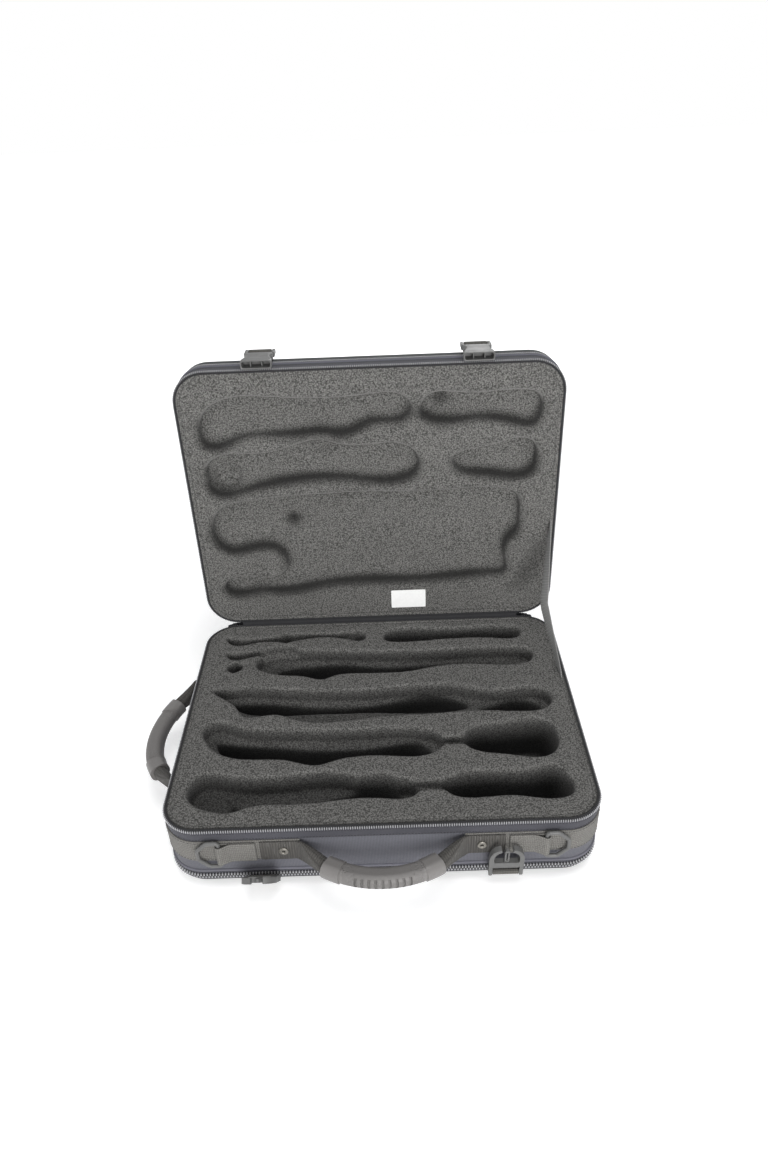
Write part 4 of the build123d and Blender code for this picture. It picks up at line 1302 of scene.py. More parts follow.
@dataclass
class Walls:
    """Covers, panels, cords, bindings and zippers of both halves."""

    back_gap: float = 176 * MM

    def trims(self) -> Iterator[Trim]:
        """List the plain bands.

        Yields:
            Each band.
        """
        base, lid = Half.BASE, Half.LID
        # The lid's cover takes the darker copy, a painted shade.
        for half, up, high, cloth in ((base, 51.75, 57.5, COVER), (lid, 11.75, 20.5, LID_COVER_SHADED)):
            yield Trim("cover_cloth", "cover", "fabric", half, cloth, (-0.75, up), (1.5, high),
                       0.4, wave=ripple)
        for half, up in ((base, 24.5), (lid, 20.5)):
            yield Trim("piping_cord", "piping", "binding", half, PIPING, (0.05, up), (2.8, 3.0),
                       1.4)
        for half, up in ((base, 81.2), (lid, 0.8)):
            yield Trim("binding_braid", "rim_binding", "binding", half, BINDING, (-0.85, up),
                       (2.2, 1.9), 0.9, 2.0)
        for half, up in ((base, 80.85), (lid, 1.15)):
            yield Trim("plush_edge", "insert", "plush", half, PILE, (-3.85, up), (4.2, 2.0),
                       0.95, 1.5, ripple)

    def zips(self) -> list[Zip]:
        """List the zippers.

        Returns:
            The zippers of both halves.
        """
        main = dict(coil_size=3.6 * MM, coil_out=0.75 * MM, tooth=(1.3 * MM, 2.4 * MM, 3.4 * MM),
                    pitch=2.2 * MM, rows=(0.0,), seam_out=0.5 * MM, open_back=self.back_gap)
        return [
            Zip("lower_zip", Half.BASE, "lower_zipper", (11 * MM, 23.2 * MM), 17 * MM, 6.4 * MM,
                0.7 * MM, (1.7 * MM, 2.8 * MM, 3.3 * MM), 3.0 * MM, (1.6 * MM, -1.6 * MM),
                (21.6 * MM,), 0.1 * MM, curved=True),
            Zip("main_zip_base", Half.BASE, "main_zipper_base", (67.5 * MM, 80.4 * MM),
                79.9 * MM, seams=(76.4 * MM, 69.0 * MM), **main),
            Zip("main_zip_lid", Half.LID, "main_zipper_lid", (1.9 * MM, 14.5 * MM), 2.1 * MM,
                seams=(5.6 * MM, 13.0 * MM), **main),
            Zip("lid_pocket_zip", Half.LID, "lid_pocket_zipper", (22 * MM, 28.5 * MM),
                25.25 * MM, 3.6 * MM, 0.45 * MM, (1.3 * MM, 1.8 * MM, 1.9 * MM), 2.2 * MM,
                (0.75 * MM, -0.75 * MM), (), 0.1 * MM, finish=PANEL),
        ]

    def build(self) -> None:
        """Build every piece of the walls."""
        for part in (*self.trims(), *self.zips()):
            part.build()
        Pan("bottom_panel_cloth", Half.BASE, "bottom_panel", 11 * MM, 0.0,
            CASE.base_edge).build()
        Pan("lid_panel_cloth", Half.LID, "lid_pocket_panel", 28.5 * MM, CASE.lid_h,
            CASE.lid_edge, crown=1.2 * MM).build()


# Straps


def eased(points: Sequence[Vector], step: float) -> list[Vector]:
    """A smooth path through points, by Catmull-Rom spans.

    Args:
        points: The points to pass through.
        step: Largest distance between the path's points.

    Returns:
        The path.
    """
    ends = [points[0] * 2 - points[1], *points, points[-1] * 2 - points[-2]]
    out: list[Vector] = []
    for a, b, c, d in zip(ends, ends[1:], ends[2:], ends[3:]):
        count = max(1, math.ceil((c - b).length / step))
        for i in range(count):
            t = i / count
            spot = b * 2 + (c - a) * t + (a * 2 - b * 5 + c * 4 - d) * t * t
            spot += (b * 3 - a - c * 3 + d) * t * t * t
            out.append(spot * 0.5)
    return [*out, points[-1]]


@dataclass
class Straps:
    """Belt, buckle straps, ring loops, hinge tape and stay strap."""

    belt_width: float = 27 * MM
    belt_thick: float = 1.6 * MM
    belt_gap: float = 78 * MM
    width: float = 25 * MM
    thick: float = 1.2 * MM
    bar: float = 2.5 * MM
    half_gap: float = 0.62 * MM
    bulge: float = 1.7 * MM

    def belt(self) -> None:
        """Lay the belt in two runs, open where the handles leave it."""
        section = box_section(self.belt_thick / 2, CASE.belt_z, self.belt_thick, self.belt_width,
                              0.7 * MM, 3 * MM)
        side, front, gap = OUTLINE.left - SIDE_HANDLE_Y, OUTLINE.front, self.belt_gap
        for name, start, end in (
            ("belt_left", side + gap, front - gap),
            ("belt_right", front + gap, OUTLINE.length + side - gap),
        ):
            piece = Band(name, Half.BASE, section, start, end).build()
            seat(dress(piece, WEBBING), "base", "webbing", "belt_webbing")
            for i, up in enumerate((65.2 * MM, 41.8 * MM)):
                row = Row(f"{name}_seam_{i + 1}", Half.BASE, THREAD, 1.62 * MM, up, 3.4 * MM,
                          (2.4 * MM, 0.5 * MM, 0.6 * MM), start, end)
                seat(row.build(), "base", "webbing", "belt_webbing")

    def buckle_strap(self, node: str, half: Half, x: float, way: list[Pair]) -> None:
        """Sew a strap that goes round a buckle's bar and back on itself.

        Args:
            node: The CAD node that it stands for.
            half: The half that it is sewn to.
            x: Where the strap is along the front.
            way: The middle of the doubled strap, from the bar to its sewn end.
        """
        path = eased([Vector((x, a, b)) for a, b in way], 2.5 * MM)
        sides: list[list[Vector]] = [[], []]
        for i, p in enumerate(path):
            along = path[min(i + 1, len(path) - 1)] - path[max(i - 1, 0)]
            normal = along.normalized().cross(ACROSS)
            distance = (p - path[0]).length
            if distance < self.bar * 1.6:
                continue
            apart = max(0.0, 1 - distance / (5.2 * self.bar)) ** 2
            for side, sign in zip(sides, (1, -1)):
                side.append(p + normal * sign * (self.half_gap + self.bulge * apart))
        start = (path[1] - path[0]).normalized()
        turns = [Matrix.Rotation(math.radians(60 + 20 * i), 3, "X") for i in range(13)]
        loop = [path[0] + turn @ start * self.bar for turn in turns]
        if (loop[0] - sides[0][0]).length > (loop[0] - sides[1][0]).length:
            sides.reverse()
        whole = sides[0][::-1] + loop + sides[1]
        piece = Ribbon(f"{node}_webbing", whole, ACROSS, self.width, self.thick, half=half)
        seat(dress(piece.build(), STRAP), half.value, "webbing", node)

    def buckle_straps(self) -> None:
        """Sew the four straps of the buckles, over the rounded edges of both halves."""
        proud = 1.3 * MM
        edge, lid_edge, top = CASE.base_edge, CASE.lid_edge, CASE.lid_h + proud
        lower = [(-166.65 * MM, 18 * MM),
                 *arc_points((edge - CASE.half_y, edge), edge + proud, 186, 232, 8)]
        upper = [(-166.8 * MM, 43 * MM),
                 *arc_points((lid_edge - CASE.half_y, CASE.lid_h - lid_edge), lid_edge + proud,
                             168, 90, 8),
                 (-142 * MM, top), (-124 * MM, top)]
        for sign, hand in HANDS:
            x = sign * CASE.buckle_x
            self.buckle_strap(f"lower_strap_{hand}", Half.BASE, x, lower)
            self.buckle_strap(f"upper_strap_{hand}", Half.LID, x, upper)

    def ring_loops(self) -> None:
        """Fold a strip of webbing round each D-ring's wire."""
        way = [(120.4, -162.4), (135, -162.4), (150, -162.4),
               *arc_points((154.5, -165.4), 3.05, 78, -108, 12),
               (149.2, -166.2), (145.4, -164.4), (141.5, -163.75), (130, -163.7),
               (120.4, -163.7)]
        for sign, hand in HANDS:
            path = [Vector((sign * x * MM, y * MM, CASE.belt_z)) for x, y in way]
            piece = Ribbon(f"ring_loop_{hand}", eased(path, 1.5 * MM), UP, 24 * MM, 1.15 * MM)
            seat(dress(piece.build(), WEBBING), "base", "webbing", "d_ring_loops")

    def hinge(self) -> None:
        """Bend the hinge tape between the two back walls."""
        back = CASE.half_y + 0.4 * MM
        low, high = (Half.LID.place @ Vector((0, back, up)) for up in (0, 14 * MM))
        corner = Vector((0, back, low.z + 0.2 * MM))
        path = [Vector((0, back, 68 * MM)), Vector((0, back, 76 * MM)),
                corner + Vector((0, 0, -3.0 * MM)), corner + Vector((0, 0.9 * MM, -0.9 * MM)),
                corner + Vector((0, 3.0 * MM, 0)), high.lerp(low, 0.35), high]
        piece = Ribbon("hinge_tape_cloth", eased(path, 1 * MM), ACROSS, 342 * MM, 0.8 * MM,
                       cross_steps=60).build()
        bend(dress(piece, HINGE), "hinge_tape", "lid",
             (0, back, 80 * MM))

    def stay(self) -> None:
        """Hang the ribbon that holds the lid, creased inward at its middle."""
        x, tuck = CASE.half_x - CASE.wall - 0.8 * MM, Vector((0, 0, 9 * MM))
        base = Vector((x, 49 * MM, CASE.base_h))
        lid = Half.LID.place @ Vector((x, 37.6 * MM, 0))
        crease = (base + lid) / 2 + Vector((-10.2, 7.8, -14.0)) * MM
        first, second = (base - crease).normalized(), (lid - crease).normalized()
        path = [base - tuck, base, base.lerp(crease, 0.5),
                crease + first * 9 * MM, crease + (first + second) * 1.2 * MM,
                crease + second * 9 * MM, crease.lerp(lid, 0.5), lid,
                lid + Half.LID.place.to_3x3() @ tuck]
        piece = Ribbon("stay_ribbon", eased(path, 2 * MM), None, 14 * MM, 1.0 * MM,
                       cross_steps=10, twist=27).build()
        bend(dress(piece, STAY), "stay_strap", "lid", base)

    def build(self) -> None:
        """Build every strap."""
        self.belt()
        self.buckle_straps()
        self.ring_loops()
        self.hinge()
        self.stay()


Stage = tuple[Vector, Vector, Vector, float, float, float]


@dataclass
class Handle:
    """The two webbing ends of one handle, folded from the belt and rolled into its grip."""

    name: str
    body: str
    node: str
    origin: Vector
    along: Vector
    out: Vector
    tilt: float
    half: float = 78 * MM
    flat: float = 38 * MM
    depth: float = 38 * MM
    grip_half: float = 52 * MM
    sag: float = 15.5 * MM
    axis_out: float = 3.2 * MM
    axis_up: float = 55 * MM
    spans: int = 4

    def frame(self) -> Matrix:
        """The handle's own frame: X along the wall, Y outward at its tilt, Z up.

        Returns:
            From that frame to the case.
        """
        a = math.radians(self.tilt)
        up = UP * math.cos(a) - self.out * math.sin(a)
        place = self.origin + self.out * self.axis_out + UP * self.axis_up
        return framed(self.along, up.cross(self.along), up, place)

    def stages(self, sign: int) -> list[Stage]:
        """List places along one end.

        Args:
            sign: 1 for the end along the wall's direction, -1 for the other.

        Returns:
            Each place's centre, height and thickness directions, sizes and roundness.
        """
        m = self.frame()
        turn = m.to_3x3()
        up = turn @ UP
        out: list[Stage] = []
        belt = self.origin + self.out * 2.3 * MM + UP * CASE.belt_z
        for run in (self.flat, self.flat * 0.75, self.flat * 0.5, self.flat * 0.25, 4 * MM):
            centre = belt + self.along * sign * (self.half + run)
            out.append((centre, UP, self.out, 25 * MM, 1.5 * MM, 0.7 * MM))
        for x, y, high, thick, radius, lean in (
            (76.5, 2.6, 24.0, 3.0, 1.4, (0.3, 0.95)), (73.5, 4.6, 22.5, 5.2, 2.5, (0.3, 0.95)),
            (69.5, 7.6, 20.6, 8.2, 4.0, (0.6, 0.8)), (65.0, 11.4, 18.6, 10.8, 5.3, (0.6, 0.8)),
            (60.5, 15.4, 16.8, 12.8, 6.3, (0.6, 0.8)),
        ):
            centre = m @ Vector((sign * x * MM, y * MM, 0))
            outward_way = (turn @ Vector((sign * lean[0], lean[1], 0))).normalized()
            out.append((centre, up, outward_way, high * MM, thick * MM, radius * MM))
        r = (self.grip_half ** 2 + self.sag ** 2) / (2 * self.sag)
        for extra in (4.0 * MM, 0.6 * MM):
            a = math.asin(self.grip_half / r) + extra / r
            x, y = sign * math.sin(a), math.cos(a)
            centre = m @ Vector((r * x, self.depth - r + r * y, 0))
            out.append((centre, up, turn @ Vector((x, y, 0)), 14.9 * MM, 14.4 * MM, 7.1 * MM))
        return out

    def build(self) -> None:
        """Build both ends, each one piece that bends where it leaves the belt."""
        for sign, hand in ((-1, "first"), (1, "second")):
            stages = self.stages(sign)
            last = len(stages) - 2
            rows = [self.ring(stages, i, k / self.spans)
                    for i in range(last + 1) for k in range(self.spans)]
            rows.append(self.ring(stages, last, 1.0))
            walked = [0.0]
            for a, b in zip(rows, rows[1:]):
                walked.append(walked[-1] + (b[0] - a[0]).length)
            count = len(rows[0])
            around = [49 * MM * j / count for j in range(count + 1)]
            name = f"{self.name}_{hand}_end"
            mesh = Lattice(name, rows, walked, around, closed_v=True).mesh()
            piece = dress(placed(name, mesh, Half.BASE.place), ROLLED)
            end = self.frame() @ Vector((sign * 60 * MM, 17 * MM, 0))
            bend(piece, self.node, self.body, stages[4][0])

    def ring(self, stages: list[Stage], i: int, t: float) -> list[Vector]:
        """Cut a section between two stages, on a smooth path through their centres.

        Args:
            stages: All stages of the end.
            i: The stage before the section.
            t: Share of the way to the next stage.

        Returns:
            The section's points.
        """
        a, b = stages[i], stages[i + 1]
        before, after = stages[max(0, i - 1)], stages[min(len(stages) - 1, i + 2)]
        m0, m1 = (b[0] - before[0]) * 0.5, (after[0] - a[0]) * 0.5
        h = t * t * (3 - 2 * t)
        centre = a[0] * (1 - h) + b[0] * h + m0 * (t ** 3 - 2 * t * t + t) + m1 * (t ** 3 - t * t)
        up, out = (a[k].lerp(b[k], t).normalized() for k in (1, 2))
        width, thick, radius = (a[k] + (b[k] - a[k]) * t for k in (3, 4, 5))
        return [centre + up * p + out * q for p, q in rounded(width, thick, radius, 6)]


# Sockets of the buckles


@dataclass
class Socket:
    """The half of a side-release buckle that its prongs click into."""

    hand: str
    side: int
    width: float = 33 * MM
    waist: float = 25.5 * MM
    thick: float = 9.5 * MM
    length: float = 44 * MM
    past: float = 1 * MM
    proud: float = 2.05 * MM

    def place(self) -> Matrix:
        """The socket's frame: X across, Y from its bar to its mouth, Z off the wall.

        Returns:
            From that frame to the case.
        """
        up, out = self.length - self.past, CASE.half_y + self.proud + self.thick / 2
        return Half.LID.place @ framed((-1, 0, 0), (0, 0, -1), (0, -1, 0),
                                       (self.side * CASE.buckle_x, -out, up))

    def outline(self) -> list[tuple[float, float, float]]:
        """List places along the body, then down into its mouth.

        Returns:
            The distance along, the width and the thickness at each.
        """
        w, v, t, end = self.width, self.waist, self.thick, self.length
        return [
            (10.6 * MM, w * 0.8, 1.5 * MM), (10.9 * MM, w * 0.86, 4.4 * MM),
            (11.8 * MM, w * 0.9, 6.6 * MM), (14 * MM, w * 0.92, 8.2 * MM),
            (17 * MM, w * 0.9, 8.8 * MM), (20 * MM, v * 1.06, 8.9 * MM),
            (24 * MM, v, 8.9 * MM), (28 * MM, v * 1.04, 9.0 * MM),
            (32 * MM, v * 1.14, 9.2 * MM), (35.5 * MM, w * 0.98, t), (39 * MM, w, t),
            (42 * MM, w, t), (end - 0.5 * MM, w, t), (end, w - 1 * MM, t - 1 * MM),
            (end - 0.3 * MM, w - 2.6 * MM, t - 2.6 * MM),
            (end - 3 * MM, w - 3.2 * MM, t - 3.2 * MM),
            (end - 12 * MM, w - 3.6 * MM, t - 3.6 * MM),
        ]

    def blocks(self) -> list[tuple[Vector, Vector]]:
        """List the two rails, the bar, the stop and the two ribs.

        Returns:
            The centre and the size of each.
        """
        rail, high = self.width / 2 - 1.8 * MM, self.thick - 3.4 * MM
        parts = [((side * rail, 4.4 * MM), (3.6 * MM, 15.2 * MM, 5.5 * MM)) for side in (-1, 1)]
        parts += [((0, 0), (29.5 * MM, 2.9 * MM, 2.9 * MM)),
                  ((0, 8 * MM), (29.5 * MM, 2.5 * MM, 2.5 * MM))]
        parts += [((side * 6 * MM, 30 * MM), (1.4 * MM, 21 * MM, high)) for side in (-1, 1)]
        return [(Vector((*centre, 0)), Vector(size)) for centre, size in parts]

    def build(self) -> None:
        """Loft the body with its hollow mouth and add its blocks, with rounded edges."""
        rows, reach = [], []
        for y, width, thick in self.outline():
            ring = rounded(width, thick, min(2.2 * MM, thick * 0.45), 5)
            rows.append([Vector((x, y, z)) for x, z in ring])
            reach.append(y)
        around = [80 * MM * i / len(rows[0]) for i in range(len(rows[0]) + 1)]
        name = f"socket_{self.hand}"
        mesh = Lattice(name, rows, reach, around, closed_v=True).mesh()
        with edited(mesh) as work:
            for centre, size in self.blocks():
                made = bmesh.ops.create_cube(work, size=1.0)["verts"]
                bmesh.ops.scale(work, vec=size, verts=made)
                bmesh.ops.translate(work, vec=centre, verts=made)
                edges = {e for v in made for e in v.link_edges}
                bmesh.ops.bevel(work, geom=list(edges), offset=min(size) * 0.3, segments=3,
                                profile=0.5, affect="EDGES")
        mesh.transform(self.place())
        outward(mesh)
        node = f"female_buckle_{self.hand}"
        piece = placed(name, mesh, Half.BASE.place, 42)
        seat(dress(piece, BUCKLE), node, "plastic", node)


# Plush inserts


@dataclass(frozen=True)
class Dent:
    """A round place on a pad, in mm in its half's own frame: a hollow, or one evened out, with a
    painted shade in it.
    """

    x: float
    y: float
    radius: float
    depth: float = 0.0
    shade: float = 0.0

    def share(self, spot: Vector) -> float:
        """How much of it a point takes, from 1 in its middle to 0 far away."""
        away = math.hypot(spot.x - self.x * MM, spot.y - self.y * MM) / (self.radius * MM)
        return math.exp(-(away ** 4)) if away < 2 else 0.0


BASE_NOTCH = (Dent(-146, -117, 12),)
# Dents of the lid's pad. Their shades paint a dark dimple, a dark spot at a hollow's end, and a
# soft painted shadow of the stay ribbon along the lower right.
LID_DENTS = (
    Dent(-94.6, 20, 5.0, 3.6, 0.9), Dent(-57, -79, 17, 3.6), Dent(76.5, -122, 6, 2.0, 0.4),
    Dent(196, 66, 10, 2.0, 0.12), Dent(189, 84, 12, 2.4, 0.16), Dent(180, 102, 12, 2.4, 0.16),
    Dent(171, 118, 11, 2.0, 0.12),
)


@dataclass
class Insert:
    """A moulded plush insert: the CAD shape, softened and with the plush's own lumps."""

    name: str
    half: Half
    passes: int = 6
    voxel: float = 1.9 * MM
    lump: float = 0.5 * MM
    lumps: float = 28.0
    fine_lumps: float = 95.0
    swell: float = 0.7 * MM
    blur: int = 2
    gain: float = 1.0
    dents: tuple[Dent, ...] = ()
    mends: tuple[Dent, ...] = ()
    clear: float = 0.05 * MM
    soft: float = 0.4 * MM
    roll: float = 6 * MM
    roll_start: float = 12.1 * MM
    squareness: float = 3.6
    label: Pair = (37 * MM, 133.5 * MM)
    label_half: Pair = (21 * MM, 12.5 * MM)
    well: float = 42 * MM
    hollow: float = 12 * MM

    def build(self) -> None:
        """Soften the node's shape and cover it."""
        node = f"{self.half.value}_insert"
        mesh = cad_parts[node].data.copy()
        with edited(mesh) as work:
            bmesh.ops.remove_doubles(work, verts=work.verts, dist=0.01 * MM)
        mesh.materials.clear()
        rough = new_object(self.name + "_rough", mesh)
        remesh = rough.modifiers.new("even", "REMESH")
        remesh.mode = "VOXEL"
        remesh.voxel_size = self.voxel
        ease = rough.modifiers.new("ease", "SMOOTH")
        ease.factor = 0.5
        ease.iterations = self.passes
        pad = evaluated(rough)
        bpy.data.objects.remove(rough)
        pad.name = self.name
        self.model(pad)
        pad.shade_smooth()
        piece = dress(new_object(self.name, pad), PILE)
        seat(piece, self.half.value, "plush", node)

    def model(self, mesh: bpy.types.Mesh) -> None:
        """Swell the pad, fill it out to the rim, add lumps and mark where shade and highlight are
        painted on the pile.

        Args:
            mesh: The softened pad.
        """
        place, back = self.half.place, self.half.place.inverted()
        turn = back.to_3x3()
        self.mend(mesh, back)
        normals = [v.normal.copy() for v in mesh.vertices]
        for vert, normal in zip(mesh.vertices, normals):
            spot = back @ vert.co
            slow = noise.noise(spot * self.lumps)
            fine = noise.noise(spot * self.fine_lumps + Vector((3, 7, 1)))
            rise = self.swell + slow * self.lump + fine * self.lump * 0.35
            facing = clamped(-1.5 * (turn @ normal).z)
            spot = self.filled(back @ (vert.co + normal * rise * self.free(spot)))
            for dent in self.dents:
                spot.z += dent.depth * MM * dent.share(spot) * facing
            vert.co = place @ self.level(spot)
        mesh.update()
        points = [(back @ v.co, turn @ v.normal, v.normal.z) for v in mesh.vertices]
        # Painted shade, spread to soft edges and made stronger on the lid.
        dark = spread(mesh, [self.painted_shade(*point) for point in points], self.blur)
        if self.gain > 1:
            dark = 0.94 * (1 - np.exp(-self.gain * dark))
        mark(mesh, "painted_shade", dark)
        # Painted highlight on the upper edges of the lid's hollows.
        mark(mesh, "painted_highlight", spread(mesh, [self.painted_highlight(*point) for point in points], 1))

    def mend(self, mesh: bpy.types.Mesh, back: Matrix) -> None:
        """Even out the places where two hollows leave a pinched notch between them.

        Args:
            mesh: The insert's mesh.
            back: From the mesh to the half's own frame.
        """
        if not self.mends:
            return
        with edited(mesh) as work:
            near = [(v, max(d.share(back @ v.co) for d in self.mends)) for v in work.verts]
            near = [(v, share) for v, share in near if share > 0.01]
            for _ in range(60):
                moves = []
                for vert, share in near:
                    others = [edge.other_vert(vert).co for edge in vert.link_edges]
                    middle = sum(others, Vector()) / len(others)
                    moves.append(vert.co.lerp(middle, 0.5 * share))
                for (vert, _), spot in zip(near, moves):
                    vert.co = spot
        mesh.update()

    def under(self, spot: Vector) -> float:
        """How far a point lies below the rim."""
        return CASE.base_h - spot.z if self.half is Half.BASE else spot.z

    def level(self, spot: Vector) -> Vector:
        """Hold a point under the rim, so that the two pads stay clear when the case is shut.

        Args:
            spot: The point in the half's own frame.

        Returns:
            The point where it is held.
        """
        deep = self.under(spot)
        if deep >= self.clear + self.soft:
            return spot
        held = self.clear + self.soft * math.exp((deep - self.clear - self.soft) / self.soft)
        spot.z += (deep - held) * (1 if self.half is Half.BASE else -1)
        return spot

    def free(self, spot: Vector) -> float:
        """Find the share of the swell that a point takes.

        Args:
            spot: The point in the half's own frame.

        Returns:
            None at the label, all elsewhere.
        """
        away = max(abs(spot.x - self.label[0]) - self.label_half[0],
                   abs(spot.y - self.label[1]) - self.label_half[1])
        return clamped((away - 3 * MM) / (6 * MM))

    def filled(self, spot: Vector) -> Vector:
        """Fill the rolled edge out towards the binding, like plush glued over foam.

        Args:
            spot: A point in the half's own frame.

        Returns:
            The point moved out.
        """
        outside, way = OUTLINE.away(spot.x, spot.y)
        u = (outside + self.roll_start) / self.roll
        v = (self.roll - self.under(spot)) / self.roll
        if u <= 0 or v <= 0:
            return spot
        power = self.squareness
        gain = math.hypot(u, v) / (u ** power + v ** power) ** (1 / power)
        push = self.roll * u * (gain - 1) + 1.0 * MM * min(1.0, u) * min(1.0, v * 3)
        lift = self.roll * v * (gain - 1)
        out = Vector((math.copysign(way.x, spot.x), math.copysign(way.y, spot.y), 0)) * push
        return spot + out + UP * (lift if self.half is Half.BASE else -lift)

    def painted_shade(self, spot: Vector, normal: Vector, level: float) -> float:
        """How much shade is painted on a point, from 0 on top to 1 deep in a well.

        Args:
            spot: The point in the half's own frame.
            normal: Its normal there.
            level: The upward part of its normal at rest.

        Returns:
            The share.
        """
        deep = max(0.0, self.under(spot) - 2 * MM)
        steep = 1 - abs(normal.z)
        # The base's painted shade darkens steep walls and the depths of its wells.
        if self.half is Half.BASE:
            return min(0.9, 0.33 * steep ** 1.5 + 0.74 * min(1.0, deep / self.well))
        if deep > self.hollow:
            return 0.0
        # On the lid, walls that face up take a painted shade.
        facing_up_shade = max(0.0, 0.42 + 0.85 * level)
        patchy = 0.85 + 0.9 * noise.noise(spot * 17)
        # The dents add their own painted shade.
        dent_shade = sum(dent.shade * dent.share(spot) for dent in self.dents)
        inside = clamped((-OUTLINE.away(spot.x, spot.y)[0] - 13 * MM) / (4 * MM))
        return min(1.2, 1.7 * facing_up_shade * steep * patchy) * inside + dent_shade

    def painted_highlight(self, spot: Vector, normal: Vector, level: float) -> float:
        """How much highlight is painted on a point, on the upper edges of a lid's hollows that
        face down.

        Args:
            spot: The point in the half's own frame.
            normal: Its normal there.
            level: The upward part of its normal at rest.

        Returns:
            The share.
        """
        if self.half is Half.BASE or self.under(spot) > 5 * MM:
            return 0.0
        if OUTLINE.away(spot.x, spot.y)[0] > -15 * MM:
            return 0.0
        return min(0.9, 4.5 * (1 - abs(normal.z)) * max(0.0, -level))


def spread(mesh: bpy.types.Mesh, values: Sequence[float], passes: int) -> np.ndarray:
    """Spread values to neighbouring points, so that shades have soft edges.

    Args:
        mesh: The mesh that the values lie on.
        values: One for each point.
        passes: How many times.

    Returns:
        The values spread.
    """
    out = np.array(values)
    edges = np.empty(len(mesh.edges) * 2, dtype=np.int64)
    mesh.edges.foreach_get("vertices", edges)
    a, b = edges[::2], edges[1::2]
    count = np.bincount(edges, minlength=len(out))
    for _ in range(passes):
        total = np.bincount(a, out[b], len(out)) + np.bincount(b, out[a], len(out))
        out = 0.5 * out + 0.5 * total / count
    return out


# Pieces that keep their CAD shape

RIGID: dict[str, Moulded] = {
    "front_handle_grip": RUBBER,
    "side_handle_grip": SIDE_RUBBER,
    "handle_rivets": RIVET,
    "label_plate": LABEL,
    **{f"{part}_{hand}": BUCKLE for part in ("d_ring", "male_buckle") for _, hand in HANDS},
    **{f"{half.value}_{part}": SHELL for part in ("shell", "core") for half in Half},
    **{f"{zipper}_{part}": ENAMEL for zipper in ("main_left", "main_right", "lower", "lid_pocket")
       for part in ("slider", "pull")},
}


def refinish() -> None:
    """Give the CAD nodes that stay as they are a better finish."""
    for name, finish in RIGID.items():
        node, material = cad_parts[name], material_of(finish)
        if not node.material_slots:
            node.data.materials.append(material)
        for place in node.material_slots:
            place.material = material
        LOG.info("%s: %s", name, finish.name)


# Light, floor and camera


@dataclass(frozen=True)
class Lamp:
    """A softbox."""

    name: str
    place: Spot
    aim: Spot
    size: float
    power: float

    def build(self) -> None:
        """Hang the softbox."""
        data = bpy.data.lights.new(self.name, "AREA")
        data.shape = "SQUARE"
        data.size = self.size
        data.energy = self.power
        lamp = new_object(self.name, data)
        lamp.location = self.place
        way = Vector(self.aim) - Vector(self.place)
        lamp.rotation_euler = way.to_track_quat("-Z", "Y").to_euler()


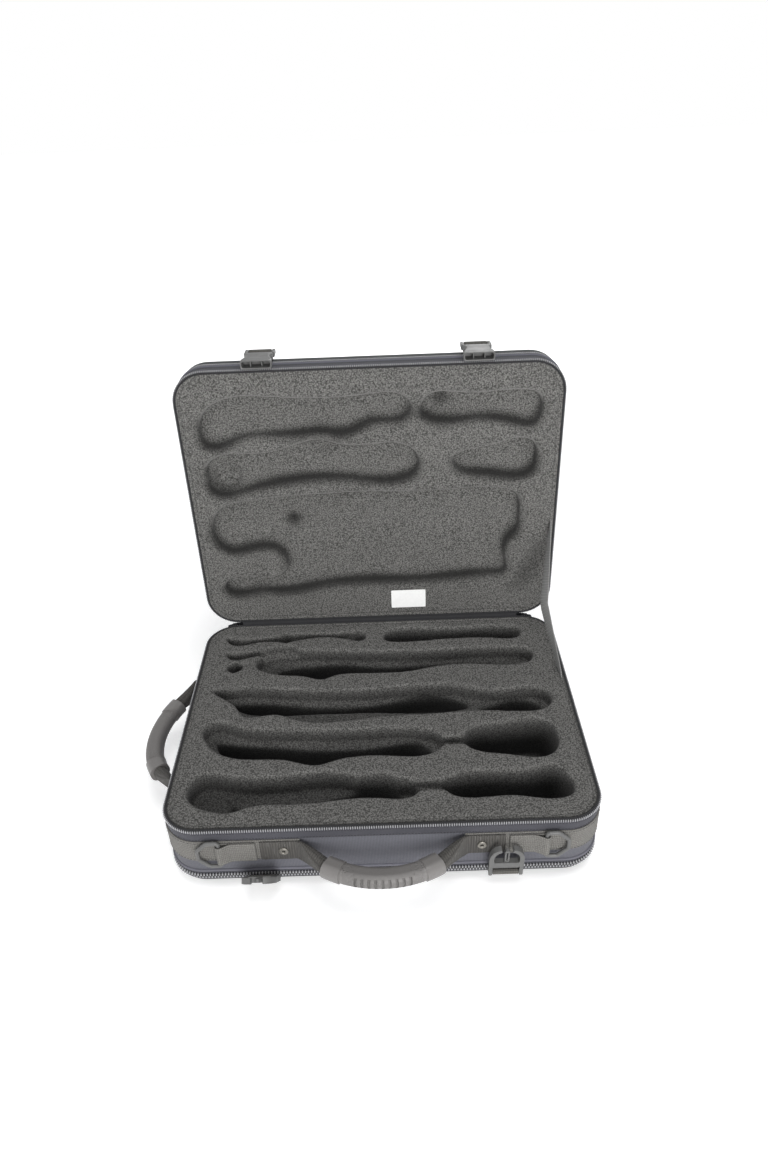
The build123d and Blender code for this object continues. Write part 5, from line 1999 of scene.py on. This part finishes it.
@dataclass
class Studio:
    """A pale studio: floor, even light from a white room and four softboxes."""

    ambient: float = 0.32
    floor_half: float = 6.0
    fade: Pair = (0.7, 1.7)
    sensor: float = 36.0
    focal_pixels: float = 837.96
    photo_height: int = 1151
    lamps: tuple[Lamp, ...] = (
        Lamp("front", (0.5, -2.3, 0.85), (0, 0, 0.2), 1.2, 52),
        Lamp("top", (0.2, -0.4, 2.3), (0, 0, 0.1), 1.2, 19),
        Lamp("side", (-1.9, -0.3, 0.9), (0, 0, 0.15), 1.0, 9),
        Lamp("back", (0.6, 2.2, 1.1), (0, 0, 0.2), 1.2, 12),
    )

    def world(self) -> None:
        """White to the camera and to gloss, an even glow for the rest."""
        world = bpy.data.worlds.new("studio")
        bpy.context.scene.world = world
        world.use_nodes = True
        world.node_tree.nodes.clear()
        n = Nodes(world.node_tree)
        glow = n.add("ShaderNodeBackground",
                     {"Color": (0.97, 0.98, 1, 1), "Strength": self.ambient})
        white = n.add("ShaderNodeBackground", {"Color": rgba(WHITE)})
        mix = n.add("ShaderNodeMixShader",
                    {0: n.seen(), 1: glow.outputs[0], 2: white.outputs[0]})
        n.add("ShaderNodeOutputWorld", {0: mix.outputs[0]})

    def floor(self) -> None:
        """Lay a floor that takes the case's shadow near it and is white paper far away."""
        mesh = bpy.data.meshes.new("floor")
        r = self.floor_half
        mesh.from_pydata([(-r, -r, 0), (r, -r, 0), (r, r, 0), (-r, r, 0)], [], [(0, 1, 2, 3)])
        shader = Shader("floor_paper")
        n = shader.nodes
        tone = n.mix(n.noise(shader.where, 40.0, 3.0), rgba(WHITE, 0.93), rgba(WHITE, 0.96))
        reach = n.add("ShaderNodeVectorMath", {0: shader.where}, operation="LENGTH")
        far = n.math("MULTIPLY", n.ramp(reach.outputs["Value"], *self.fade), n.seen())
        glow = n.mix(far, rgba(WHITE, self.ambient), rgba(WHITE))
        shader.set(Base_Color=tone, Roughness=0.9, Specular_IOR_Level=0.1,
                   Emission_Color=glow, Emission_Strength=1.0)
        mesh.materials.append(shader.material)
        new_object("floor", mesh)

    def camera(self) -> None:
        """Stand the camera where the photograph was taken."""
        data = bpy.data.cameras.new("camera")
        data.sensor_width = self.sensor
        data.lens = self.sensor * self.focal_pixels / self.photo_height
        data.clip_start, data.clip_end = 0.01, 50
        eye = new_object("camera", data)
        eye.matrix_world = framed(
            (0.999337, -0.0111, -0.034682),
            (0.035056, 0.550983, 0.83378),
            (0.009854, -0.834443, 0.551007),
            Vector((18.0103, -683.53, 705.7814)) * MM,
        )
        bpy.context.scene.camera = eye

    def build(self) -> None:
        """Set up light, floor, camera and the plain view transform."""
        bpy.context.scene.view_settings.view_transform = "Standard"
        self.world()
        self.floor()
        self.camera()
        for lamp in self.lamps:
            lamp.build()


def main() -> None:
    logging.basicConfig(level=logging.INFO, format="%(name)s: %(message)s")
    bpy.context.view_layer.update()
    Studio().build()
    refinish()
    Walls().build()
    Straps().build()
    Handle("front_webbing", "front_handle", "front_handle_webbing",
           Vector((0, -CASE.half_y, 0)), -ACROSS, Vector((0, -1, 0)), 6.0).build()
    Handle("side_webbing", "side_handle", "side_handle_webbing",
           Vector((-CASE.half_x, SIDE_HANDLE_Y, 0)), Vector((0, 1, 0)), -ACROSS, -12.0).build()
    for side, hand in HANDS:
        Socket(hand, side).build()
    Insert("base_plush", Half.BASE, mends=BASE_NOTCH).build()
    Insert("lid_plush", Half.LID, passes=9, blur=24, gain=4.6, dents=LID_DENTS).build()
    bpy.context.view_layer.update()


if __name__ == "__main__":
    main()
